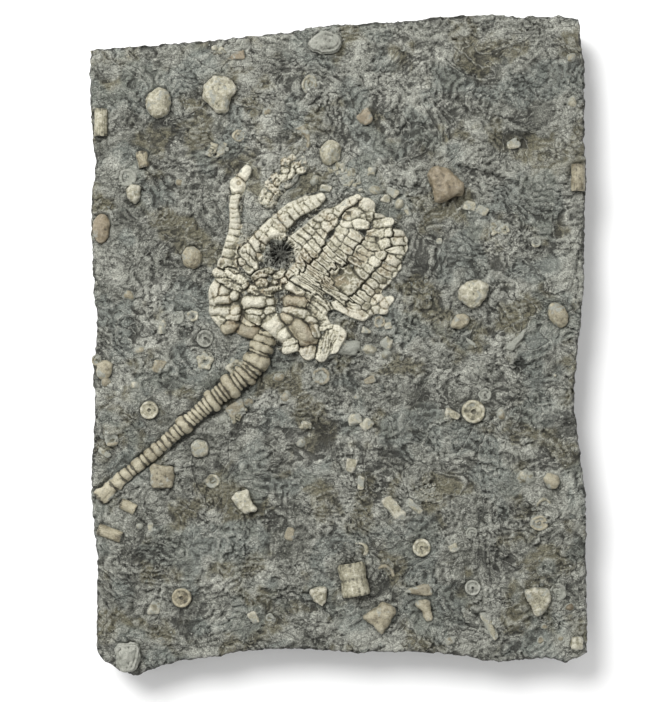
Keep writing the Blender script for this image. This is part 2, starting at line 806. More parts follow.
LIMESTONE = StoneFinish(
    slot="limestone", pale=(0.52, 0.522, 0.455), middle=(0.252, 0.257, 0.22), deep=(0.09, 0.092, 0.074),
    dirt=(0.022, 0.022, 0.017), worn=(0.50, 0.505, 0.44), patch_size=4.6, fleck_size=0.5, flecks=0.85,
    dirt_amount=0.8, wear_amount=0.45, coarse_grain=1.8, pits=0.3, bump_depth=0.8, crinkle=0.36,
    sheets=0.6, speckle=1.35, roughness=0.5, gloss=0.5, stain=(0.15, 0.138, 0.085), tint=(0.21, 0.23, 0.205),
)
CREAM = StoneFinish(
    slot="cream", pale=(0.485, 0.462, 0.357), middle=(0.305, 0.287, 0.205), deep=(0.15, 0.138, 0.09),
    dirt=(0.04, 0.038, 0.028), worn=(0.66, 0.64, 0.54), patch_size=2.0, fleck_size=0.35, flecks=0.55,
    dirt_amount=0.8, wear_amount=0.5, roughness=0.5, gloss=0.4, film=0.75, stain=(0.235, 0.18, 0.105),
)
TAN = StoneFinish(
    slot="tan", pale=(0.42, 0.388, 0.282), middle=(0.272, 0.244, 0.166), deep=(0.125, 0.106, 0.066),
    dirt=(0.03, 0.027, 0.02), worn=(0.47, 0.44, 0.34), patch_size=2.4, fleck_size=0.35, flecks=0.45,
    dirt_amount=0.8, wear_amount=0.35, roughness=0.46, gloss=0.45, film=0.7, stain=(0.16, 0.105, 0.05),
)
BROWN = StoneFinish(
    slot="brown", pale=(0.30, 0.25, 0.165), middle=(0.165, 0.132, 0.082), deep=(0.085, 0.068, 0.042),
    dirt=(0.025, 0.021, 0.016), worn=(0.39, 0.35, 0.265), patch_size=2.4, fleck_size=0.35, flecks=0.4,
    dirt_amount=0.75, wear_amount=0.35, roughness=0.4, gloss=0.5, film=0.4,
)
GREY = StoneFinish(
    slot="grey", pale=(0.35, 0.352, 0.305), middle=(0.205, 0.208, 0.175), deep=(0.105, 0.107, 0.088),
    dirt=(0.03, 0.03, 0.024), worn=(0.44, 0.44, 0.39), patch_size=2.4, fleck_size=0.35, flecks=0.6,
    dirt_amount=0.8, wear_amount=0.4, roughness=0.58, gloss=0.36, film=1.0,
)
BED = replace(
    GREY, film=0.0, tint=(0.36, 0.34, 0.26), crinkle=0.3, sheets=0.35, sheet_size=8.0, dirt_amount=0.95,
)
FINISHES = {"limestone": LIMESTONE, "cream": CREAM, "tan": TAN, "brown": BROWN, "grey": GREY, "bed": BED}


# ---------------------------------------------------------------- pieces

class Workshop:
    """Turns shapes into pieces that ride on the fossil, with a finish each."""

    def __init__(self) -> None:
        """Builds the shader groups and the finishes."""
        groups = Groups()
        self.materials = {slot: finish.material(f"{slot}_stone", groups) for slot, finish in FINISHES.items()}

    def piece(self, name: str, shape: Shape, slot: str, replaces: Sequence[str] = (),
              faceted: bool = False) -> None:
        """Makes a piece.

        Args:
            name: the piece's name.
            shape: its mesh, in millimetres.
            slot: the name of its finish.
            replaces: the CAD nodes that it stands for.
            faceted: whether its faces are shaded flat.
        """
        mesh = bpy.data.meshes.new(name)
        mesh.from_pydata((shape.corners * MM).tolist(), [], shape.faces)
        mesh.update()
        for label, values in shape.marks.items():
            layer = mesh.attributes.new(label, "FLOAT", "POINT")
            layer.data.foreach_set("value", values.astype(np.float32))
        if not faceted:
            mesh.shade_smooth()
        mesh.materials.append(self.materials[slot])
        made = bpy.data.objects.new(name, mesh)
        bpy.context.scene.collection.objects.link(made)
        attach(made, BODY)
        if replaces:
            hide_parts(*replaces)
        log.info("%s: %d corners, %d faces", name, len(shape.corners), len(shape.faces))


# ---------------------------------------------------------------- the slab

def line_distance(places: np.ndarray, line: Sequence[Point]) -> tuple[np.ndarray, np.ndarray, np.ndarray]:
    """How places lie beside a line of points.

    Args:
        places: an (x, y) row for each place.
        line: the line's points.

    Returns:
        The distance to the line, the side (1 to the left of it, -1 to the right) and the share
        of the line's length at the nearest point.
    """
    best = np.full(len(places), np.inf)
    side = np.ones(len(places))
    share = np.zeros(len(places))
    points = np.array(line, float)
    lengths = np.linalg.norm(np.diff(points, axis=0), axis=1)
    done = np.concatenate([[0.0], np.cumsum(lengths)]) / lengths.sum()
    for index, (start, finish) in enumerate(zip(points, points[1:])):
        run = finish - start
        along = np.clip(((places - start) @ run) / (run @ run), 0, 1)
        away = places - (start + along[:, None] * run)
        distance = np.linalg.norm(away, axis=1)
        closer = distance < best
        turn = run[0] * (places[:, 1] - start[1]) - run[1] * (places[:, 0] - start[0])
        best = np.where(closer, distance, best)
        side = np.where(closer, np.sign(turn), side)
        share = np.where(closer, done[index] + along * (done[index + 1] - done[index]), share)
    return best, side, share


@dataclass(frozen=True)
class Ledge:
    """A step in the bedding: the rock to the left of the line stands higher."""

    line: tuple[Point, ...]
    height: float
    fade: float

    def relief(self, places: np.ndarray) -> np.ndarray:
        """The height it adds at each place."""
        distance, side, share = line_distance(places, self.line)
        ends = smoothstep(share, 0.0, 0.15) * (1 - smoothstep(share, 0.85, 1.0))
        lip = smoothstep(side * distance, -0.12, 0.3) * np.exp(-distance / self.fade)
        foot = (side < 0) * np.exp(-distance / (self.fade * 0.35)) * 0.6
        return self.height * ends * (lip - foot)


@dataclass(frozen=True)
class Ridge:
    """A thin raised line, such as a shell's edge."""

    line: tuple[Point, ...]
    height: float
    width: float

    def relief(self, places: np.ndarray) -> np.ndarray:
        """The height it adds at each place."""
        distance, side, share = line_distance(places, self.line)
        ends = smoothstep(share, 0.0, 0.08) * (1 - smoothstep(share, 0.92, 1.0))
        crest = bell(distance, self.width)
        ditch = bell(distance - 2.2 * self.width, self.width) * (side < 0)
        return self.height * ends * (crest - 0.7 * ditch)


@dataclass(frozen=True)
class Mound:
    """A smooth round rise, or a pit where the height is negative."""

    x: float
    y: float
    radius: float
    height: float

    def relief(self, places: np.ndarray) -> np.ndarray:
        """The height it adds at each place."""
        away = np.hypot(places[:, 0] - self.x, places[:, 1] - self.y) / self.radius
        return self.height * (1 - smoothstep(away, 0.35, 1.0))


def rough_field(places: np.ndarray) -> np.ndarray:
    """Where the bedding surface is rough (positive) and where it is smooth."""
    return Noise(Seed.BEDDING).fractal(places + 900.0, 11.0, 4)


@dataclass
class Matrix:
    """The slab of limestone: a fine bedding surface, four broken walls and a flat back."""

    columns: int = 248
    rows: int = 328
    wall_rings: int = 14
    wall_hollow: float = 1.0
    foot_inset: float = 1.0
    rim_width: float = 1.1
    rim_drop: float = 0.8
    moat: float = 0.45
    margin: float = 4.0
    jaggedness: float = 0.3
    swell_height: float = 0.30
    bed_height: float = 0.34
    lump_height: float = 0.16
    furrow_depth: float = 0.30
    fold_height: float = 1.3
    sheet_height: float = 0.75
    grain_height: float = 0.05
    pit_depth: float = 0.5
    features: tuple = ()
    rock: Surface = field(init=False)

    def build(self) -> Shape:
        """Shapes the slab.

        Returns:
            The closed mesh of the slab, with its marks.
        """
        cad = Surface(node_shape("slab"))
        low, high = (np.array(corner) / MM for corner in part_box("slab"))
        outline = self._outline(cad, low, high)
        across = np.linspace(0, 1, self.columns)
        up = np.linspace(0, 1, self.rows)
        places = self._patch(outline, across, up)
        inner = self._edge_distance(places)
        places = self._jagged(places, inner)
        base = self._base(cad, places)
        cover = self._cover(places)
        height = base + self._relief(places, cover)
        near = blurred(cover, 1.6)
        wide = blurred(cover, 4.5)
        height -= self.moat * (0.55 * smoothstep(near, 0.03, 0.6) + 0.45 * smoothstep(wide, 0.05, 0.6))
        rim = 1 - smoothstep(inner, 0.0, self.rim_width)
        height -= self.rim_drop * rim**1.6
        corners = np.column_stack([places.reshape(-1, 2), height.ravel()])
        top = Shape(corners, grid_faces(self.rows, self.columns, wrapped=False))
        self._mark_top(top, height, near, wide, places, rim)
        self.rock = Surface(top)
        return self._walled(top, height.shape)

    def _outline(self, cad: Surface, low: np.ndarray, high: np.ndarray) -> dict:
        """The slab's four edges seen from above, each as rows of (x, y) from low to high."""
        middle = (low[:2] + high[:2]) / 2
        reach = float(np.hypot(*(high[:2] - low[:2])))

        def corner(sign_x: int, sign_y: int) -> np.ndarray:
            """The outline's own corner nearest to a corner of its box."""
            best, found = -np.inf, middle
            for turn in np.radians(np.linspace(-9, 9, 91)):
                base = math.atan2(sign_y * (high[1] - low[1]), sign_x * (high[0] - low[0])) + turn
                heading = (math.cos(base), math.sin(base))
                spot = middle + np.array(heading) * cad.reach(tuple(middle), heading, reach)
                score = sign_x * spot[0] * 1.25 + sign_y * spot[1]
                if score > best:
                    best, found = score, spot
            return found

        lower_left, lower_right = corner(-1, -1), corner(1, -1)
        upper_left, upper_right = corner(-1, 1), corner(1, 1)
        shares = np.linspace(0, 1, 420)

        def edge(start: np.ndarray, finish: np.ndarray, axis: int, sign: int) -> np.ndarray:
            """An edge read by rays that run outwards from a little way inside it."""
            heading = np.zeros(2)
            heading[1 - axis] = float(sign)
            spots = []
            for share in shares[1:-1]:
                inside = start + share * (finish - start) - self.margin * heading
                spots.append(inside + heading * cad.reach(tuple(inside), tuple(heading), 4 * self.margin))
            return np.vstack([start, np.array(spots), finish])

        return {
            "lower": edge(lower_left, lower_right, 0, -1), "upper": edge(upper_left, upper_right, 0, 1),
            "left": edge(lower_left, upper_left, 1, -1), "right": edge(lower_right, upper_right, 1, 1),
        }

    @staticmethod
    def _patch(outline: dict, across: np.ndarray, up: np.ndarray) -> np.ndarray:
        """A grid of places stretched between the four edges, of shape (rows, columns, 2)."""
        def read(edge: np.ndarray, shares: np.ndarray) -> np.ndarray:
            """An edge read at shares of its length."""
            stops = np.linspace(0, 1, len(edge))
            return np.column_stack([np.interp(shares, stops, edge[:, axis]) for axis in (0, 1)])

        lower, upper = read(outline["lower"], across), read(outline["upper"], across)
        left, right = read(outline["left"], up), read(outline["right"], up)
        u, v = across[None, :, None], up[:, None, None]
        ruled = (1 - v) * lower[None] + v * upper[None] + (1 - u) * left[:, None] + u * right[:, None]
        flat = (
            (1 - u) * (1 - v) * lower[0] + u * (1 - v) * lower[-1]
            + (1 - u) * v * upper[0] + u * v * upper[-1]
        )
        return ruled - flat

    @staticmethod
    def _base(cad: Surface, places: np.ndarray) -> np.ndarray:
        """Height of the CAD slab under each place, carried outwards over the last cells."""
        heights = cad.heights(places.reshape(-1, 2)).reshape(places.shape[:2])
        for _ in range(4):
            known = np.where(np.isnan(heights), 0.0, heights)
            weight = blurred((~np.isnan(heights)).astype(float), 1.0)
            filled = blurred(known, 1.0) / np.maximum(weight, 1e-6)
            heights = np.where(np.isnan(heights), np.where(weight > 1e-3, filled, np.nan), heights)
        heights = np.where(np.isnan(heights), np.nanmean(heights), heights)
        return blurred(heights, 2.0)

    @staticmethod
    def _cover(places: np.ndarray) -> np.ndarray:
        """Where fossils stand on the slab, as 1 or 0 for each place."""
        tops = fossil_surface().heights(places.reshape(-1, 2)).reshape(places.shape[:2])
        return (~np.isnan(tops)).astype(float)

    def _jagged(self, places: np.ndarray, inner: np.ndarray) -> np.ndarray:
        """The places near the slab's edge, pushed in and out by small chips."""
        flat = places.reshape(-1, 2)
        noise = Noise(Seed.EDGE_CHIPS)
        push = np.column_stack([noise.fractal(flat + shift, 2.4, 3, 0.6) for shift in (0.0, 400.0)])
        near = (1 - smoothstep(inner, 0.0, 1.6)).ravel()[:, None]
        return (flat + self.jaggedness * near * push).reshape(places.shape)

    @staticmethod
    def _edge_distance(places: np.ndarray) -> np.ndarray:
        """Distance of each place from the slab's edge, measured along the grid."""
        rows, columns = places.shape[:2]
        up, across = np.mgrid[0:rows, 0:columns].astype(float)
        step_x = np.linalg.norm(places[:, -1] - places[:, 0], axis=1).mean() / (columns - 1)
        step_y = np.linalg.norm(places[-1] - places[0], axis=1).mean() / (rows - 1)
        return np.minimum(
            np.minimum(across, columns - 1 - across) * step_x, np.minimum(up, rows - 1 - up) * step_y,
        )

    def _relief(self, places: np.ndarray, cover: np.ndarray) -> np.ndarray:
        """The weathered relief of the bedding surface at each place."""
        flat = places.reshape(-1, 2)
        noise = Noise(Seed.BEDDING)
        bent = flat + 1.3 * np.column_stack([noise.plain(flat, 8.0), noise.plain(flat + 300.0, 8.0)])
        bent = bent + 0.25 * np.column_stack([noise.plain(bent, 2.0), noise.plain(bent + 500.0, 2.0)])
        rough = 0.3 + 0.7 * smoothstep(rough_field(flat), -0.15, 0.2)
        height = self.swell_height * noise.fractal(bent + 60.0, 13.0, 2)
        beds = noise.fractal(bent + 130.0, 12.0, 5)
        height += self._terraces(beds, 3.0, self.bed_height)
        height += rough * self.lump_height * noise.fractal(bent + 210.0, 5.0, 3)
        height -= rough * self.furrow_depth * (noise.ridged(bent + 410.0, 5.0, 4) ** 3 - 0.2)
        folds = noise.fractal(bent * np.array([0.8, 1.25]) + 700.0, 20.0, 4, 0.42)
        height += (0.5 + 0.5 * rough) * self._lapped(folds, 5.0, self.fold_height)
        chips = noise.fractal(bent * np.array([1.3, 0.9]) + 1900.0, 8.0, 3, 0.45)
        height += (0.25 + 0.75 * rough) * self._lapped(chips, 3.0, self.sheet_height)
        height += (0.3 + 0.7 * rough) * self.grain_height * noise.fractal(flat + 820.0, 1.5, 2, 0.7)
        pits = noise.plain(flat + 1500.0, 1.9)
        height -= self.pit_depth * smoothstep(pits, 0.55, 0.8) * rough
        for feature in self.features:
            height += feature.relief(flat)
        height = height.reshape(cover.shape)
        under = blurred(cover, 1.2)
        return height * (1 - 0.75 * smoothstep(under, 0.15, 0.8))

    @staticmethod
    def _lapped(values: np.ndarray, steps: float, height: float) -> np.ndarray:
        """A smooth field cut into sheets that rise gently and end in a sharp lip."""
        share = np.mod(values * steps, 1.0)
        return height * share * (1 - smoothstep(share, 0.86, 1.0))

    @staticmethod
    def _terraces(values: np.ndarray, steps: float, height: float) -> np.ndarray:
        """A smooth field cut into flat beds with sharp risers."""
        scaled = values * steps
        level = np.floor(scaled)
        return height * (level + smoothstep(scaled - level, 0.0, 0.16)) / 2

    def _mark_top(self, top: Shape, height: np.ndarray, near: np.ndarray, wide: np.ndarray,
                  places: np.ndarray, rim: np.ndarray) -> None:
        """Marks the hollows, crests, stains and smooth patches of the bedding surface."""
        fine = standing_off(height, 1.5, 0.16)
        mid = standing_off(height, 5.0, 0.5)
        broad = standing_off(height, 14.0, 1.3)
        relief = np.clip(0.1 * fine + 0.3 * mid + 0.7 * broad - 0.25 * rim, -1, 1)
        flat = places.reshape(-1, 2)
        noise = Noise(Seed.BEDDING_STAINS)
        smooth = smoothstep(noise.fractal(flat, 15.0, 3), 0.12, 0.4).reshape(height.shape)
        stain = smoothstep(noise.fractal(flat + 77.0, 15.0, 4, 0.6), 0.05, 0.4).reshape(height.shape)
        top.mark("relief", relief.ravel())
        top.mark("root", (0.35 * smoothstep(near, 0.05, 0.6) + 0.15 * smoothstep(wide, 0.02, 0.5)).ravel())
        top.mark("tint", (0.75 * smooth).ravel())
        top.mark("stain", (0.85 * stain).ravel())
        shade = 0.45 * noise.fractal(flat + 40.0, 30.0, 2) + 0.7 * noise.fractal(flat + 440.0, 9.0, 3)
        for x, y, reach, amount in BLOOMS:
            shade += amount * round_spot(flat[:, 0] - x, flat[:, 1] - y, reach)
        top.mark("shade", np.clip(shade, -0.6, 0.7))

    def _walled(self, top: Shape, size: tuple[int, int]) -> Shape:
        """Closes the bedding surface with its four walls and its back."""
        numbers = np.arange(size[0] * size[1]).reshape(size)
        loop = np.concatenate([numbers[0, :-1], numbers[:-1, -1], numbers[-1, :0:-1], numbers[:0:-1, 0]])
        rim = top.corners[loop]
        ahead = np.roll(rim[:, :2], -6, axis=0) - np.roll(rim[:, :2], 6, axis=0)
        ahead /= np.linalg.norm(ahead, axis=1, keepdims=True)
        outward = np.column_stack([ahead[:, 1], -ahead[:, 0]])
        noise = Noise(Seed.WALLS)
        corners, faces = [top.corners], list(top.faces)
        relief, above, count = [top.marks["relief"]], loop, len(top.corners)
        for ring in range(1, self.wall_rings + 1):
            share = ring / self.wall_rings
            level = rim[:, 2] * (1 - share)
            inset = self.wall_hollow * math.sin(math.pi * min(1.0, share * 1.1)) + self.foot_inset * share**2
            spots = np.column_stack([rim[:, :2] - inset * outward, level])
            breaks = noise.fractal(spots * np.array([1, 1, 1.6]), 7.0, 4, 0.55)
            beds = self._terraces(noise.fractal(spots * np.array([0.5, 0.5, 2.2]) + 50.0, 6.0, 2), 4.0, 0.5)
            push = (0.7 * breaks + 0.5 * beds - 0.5) * math.sin(math.pi * share) ** 0.6
            push = np.minimum(push, 0.15 + inset)
            corners.append(np.column_stack([spots[:, :2] + push[:, None] * outward, level]))
            relief.append(np.clip(push / 0.6, -1, 1) - 0.25)
            below = count + np.arange(len(loop))
            loops = (below, np.roll(below, -1), np.roll(above, -1), above)
            faces.extend(zip(*(row.tolist() for row in loops)))
            above, count = below, count + len(loop)
        faces.append(tuple(above[::-1].tolist()))
        shape = Shape(np.vstack(corners), faces, {"relief": np.concatenate(relief)})
        extra = len(shape.corners) - len(top.corners)
        for label in ("root", "tint", "stain", "shade"):
            shape.marks[label] = np.concatenate([top.marks[label], np.zeros(extra)])
        return shape


FEATURES = (
    Ledge(((29.0, 47.8), (39.0, 45.2), (47.3, 42.4)), 1.2, 4.5),
    Ledge(((45.0, 50.0), (49.0, 56.0), (41.0, 60.0), (37.0, 55.0)), 0.7, 2.5),
    Ridge(((16.2, 57.2), (19.3, 63.4), (22.7, 65.0)), 0.6, 0.5),
    Ridge(((5.8, 81.4), (13.3, 82.2), (21.1, 79.6), (26.6, 79.3), (33.0, 81.1), (36.7, 78.8)), 0.45, 0.3),
    Ridge(((8.9, 78.0), (14.6, 78.0), (22.7, 74.6)), 0.4, 0.3),
    Ridge(((25.8, -62.4), (31.8, -70.5), (38.6, -74.4)), 0.45, 0.35),
    Ridge(((39.1, -57.2), (42.0, -66.0), (45.8, -78.5)), 0.4, 0.35),
    Ridge(((-56.6, -22.0), (-53.8, -21.3), (-49.3, -25.2)), 0.35, 0.22),
    Ridge(((40.0, -51.0), (44.0, -53.6), (49.0, -53.0), (52.0, -50.0)), 0.45, 0.3),
    Ridge(((39.0, -38.5), (42.0, -36.5), (44.5, -40.0), (42.5, -42.6), (39.5, -41.5)), 0.35, 0.22),
    Mound(45.8, -50.7, 5.0, 0.5),
    Mound(-14.9, 24.2, 3.9, -2.4),
    Mound(47.2, -4.9, 2.2, -1.2),
    Mound(23.0, -6.5, 2.0, -1.1),
    Mound(46.0, 53.5, 4.5, -1.1),
    Mound(-14.9, 16.0, 1.8, -1.0),
)


BLOOMS = (
    (19.6, 53.6, 14.0, 0.42), (13.0, 70.0, 13.0, 0.2), (-58.0, 38.0, 14.0, -0.3), (-58.0, -9.0, 14.0, -0.35),
    (-58.0, -55.0, 10.0, -0.25), (0.0, -30.0, 16.0, 0.2), (44.0, 25.0, 12.0, 0.25), (44.0, -25.0, 14.0, 0.2),
    (42.0, -56.0, 12.0, 0.25), (-45.0, 60.0, 16.0, -0.15), (2.0, 50.0, 9.0, 0.25),
    (-24.5, 35.0, 5.0, 0.4), (-13.0, 45.5, 6.0, 0.4), (0.0, 41.0, 5.0, 0.3), (18.0, 30.0, 6.0, 0.2),
)


# ---------------------------------------------------------------- the stem

class Columnal(Enum):
    """Kinds of joint in the stem, with how much each swells past the plain radius."""

    BROKEN = 0.97
    BAND = 1.0
    THIN = 0.93
    NODAL = 1.26
    SEGMENT = 1.12
    COLLAR = 0.92


@dataclass
class Stem:
    """The stem: plain bands at its broken far end, beads with thin rings between them, and
    three swollen segments under the cup."""

    run: tuple[tuple[Columnal, float], ...] = (
        (Columnal.BROKEN, 5.5), (Columnal.BAND, 3.4), (Columnal.BAND, 2.4), (Columnal.THIN, 1.3),
        (Columnal.BAND, 3.2), (Columnal.THIN, 1.4), (Columnal.BAND, 2.6), (Columnal.BAND, 2.0),
        (Columnal.THIN, 1.5), (Columnal.BAND, 1.9), (Columnal.THIN, 1.3), (Columnal.BAND, 1.7),
        (Columnal.THIN, 1.2), (Columnal.NODAL, 2.8), (Columnal.THIN, 1.2), (Columnal.THIN, 1.3),
        (Columnal.THIN, 1.2), (Columnal.THIN, 1.3), (Columnal.THIN, 1.2), (Columnal.THIN, 1.2),
        (Columnal.NODAL, 2.2), (Columnal.THIN, 1.2), (Columnal.THIN, 1.3), (Columnal.THIN, 1.2),
        (Columnal.NODAL, 2.9), (Columnal.THIN, 1.2), (Columnal.THIN, 1.3), (Columnal.SEGMENT, 1.9),
        (Columnal.THIN, 1.2), (Columnal.THIN, 1.2), (Columnal.SEGMENT, 3.6), (Columnal.COLLAR, 0.9),
        (Columnal.SEGMENT, 2.3), (Columnal.SEGMENT, 2.0), (Columnal.COLLAR, 1.4),
    )
    path: tuple[tuple[float, float, float], ...] = (
        (-62.4, -39.8, 2.15), (-58.5, -36.3, 1.95), (-53.2, -31.8, 1.85), (-48.6, -28.1, 1.9),
        (-43.9, -24, 1.9), (-41, -21.3, 2.05), (-36.9, -17.8, 2.1), (-33.6, -14.9, 2.45),
        (-31, -12.8, 2.5), (-28.6, -10.9, 2.9), (-25.6, -8.7, 2.8), (-23.3, -7, 2.95),
        (-21.4, -4.4, 3.3), (-20.3, -0.8, 3), (-19.3, 1.8, 2.7), (-18.6, 3.8, 2.4),
    )
    rings_each: int = 13
    sides: int = 60
    groove: float = 0.2
    roughness: float = 0.085

    def build(self, rock: Surface) -> Shape:
        """Shapes the stem.

        Args:
            rock: the bedding surface that it lies in.

        Returns:
            The closed mesh of the stem, with its marks.
        """
        self._lay_path()
        draw = np.random.default_rng(Seed.STEM_JOINTS.value)
        total = sum(length for _, length in self.run)
        rings, relief, shade, start = [], [], [], 0.0
        turns = np.arange(self.sides) * math.tau / self.sides
        for kind, length in self.run:
            tilt, lift, pale = draw.normal(0, 0.06), draw.normal(0, 0.08), draw.normal(0.12, 0.3)
            swell = kind.value * (1 + draw.normal(0, 0.022))
            for share in (1 - np.cos(np.linspace(0, math.pi, self.rings_each))) / 2:
                along = (start + share * length) / total
                profile = 1 - self.groove * abs(2 * share - 1) ** (3.2 if length > 1.5 else 2.2)
                rings.append(self._ring(along, swell * profile, tilt, lift, turns))
                relief.append(np.full(self.sides, (profile - 1 + 0.07) / 0.09))
                shade.append(np.full(self.sides, pale))
            start += length
        shape = tube(np.array(rings))
        for label, values in (("relief", relief), ("shade", shade)):
            shape.mark(label, 0.0)
            shape.marks[label][:-2] = np.concatenate(values)
        self._weather(shape)
        shape.marks["relief"] = np.clip(shape.marks["relief"], -1, 1)
        return shape.mark_root(rock, 1.2)

    def _lay_path(self) -> None:
        """Smooths the stem's path and reads the height of the CAD stem along it."""
        knots = np.array(self.path)
        gone = np.concatenate([[0], np.cumsum(np.linalg.norm(np.diff(knots[:, :2], axis=0), axis=1))])
        self.stops = np.linspace(0, 1, 140)
        eased = np.column_stack([np.interp(self.stops * gone[-1], gone, knots[:, axis]) for axis in range(3)])
        for _ in range(30):
            eased[1:-1] = (eased[:-2] + 2 * eased[1:-1] + eased[2:]) / 4
        tops = Surface(node_shape("stem")).heights(eased[:, :2])
        known = ~np.isnan(tops)
        tops = np.interp(self.stops, self.stops[known], tops[known])
        for _ in range(12):
            tops[1:-1] = (tops[:-2] + 2 * tops[1:-1] + tops[2:]) / 4
        ahead = np.gradient(eased[:, :2], axis=0)
        ahead /= np.linalg.norm(ahead, axis=1, keepdims=True)
        self.track = np.column_stack([eased, tops, ahead])

    def _ring(self, along: float, swell: float, tilt: float, lift: float, turns: np.ndarray) -> np.ndarray:
        """One ring of corners about the stem's axis."""
        x, y, radius, top, ahead_x, ahead_y = (np.interp(along, self.stops, run) for run in self.track.T)
        middle, ahead = np.array([x, y]), np.array([ahead_x, ahead_y])
        side = np.array([ahead_y, -ahead_x])
        crimp = 1 + 0.008 * np.cos(26 * turns)
        out = radius * swell * np.cos(turns) * crimp
        rise = radius * swell * np.sin(turns) * crimp
        flat = middle + out[:, None] * side + (tilt * out + 0.3 * tilt * rise)[:, None] * ahead
        level = top - radius * 0.97 + rise + lift
        return np.column_stack([flat, level])[::-1]

    def _weather(self, shape: Shape) -> None:
        """Roughens the stem, most of all at its broken end and under the cup."""
        noise = Noise(Seed.STEM_WEAR)
        count = self.rings_each * self.sides
        along = np.repeat(np.arange(len(self.run)), count) / len(self.run)
        along = np.append(along, [0.0, 1.0])
        broken = 1 - smoothstep(along, 0.02, 0.06)
        upper = smoothstep(along, 0.72, 0.88)
        amount = self.roughness * (1 + 5.0 * broken + 2.2 * upper)
        bumps = noise.fractal(shape.corners, 1.7, 4, 0.6)
        chips = -smoothstep(noise.plain(shape.corners + 70.0, 2.4), 0.35, 0.7)
        push = amount * bumps + 0.22 * chips
        shape.corners += push[:, None] * shape.normals()
        shape.marks["relief"] += 0.9 * bumps + 0.5 * chips
        shape.marks["shade"] += 0.35 * broken + 0.1 - 0.3 * upper


# ---------------------------------------------------------------- the crown

class Plate(NamedTuple):
    """A plate of the crown from above: its middle, full size, heading in degrees, lift and shade."""

    x: float
    y: float
    long: float
    wide: float
    turn: float
    lift: float = 0.0
    shade: float = 0.0


@dataclass(frozen=True)
class Cluster:
    """The plates that stand for one CAD node, and how domed and how rough they are."""

    slot: str
    bulge: float
    rough: float
    plates: tuple[tuple[float, ...], ...]


@dataclass(frozen=True)
class Hollow:
    """A round pit in the crown."""

    x: float
    y: float
    radius: float
    depth: float
    fibres: float = 0.0


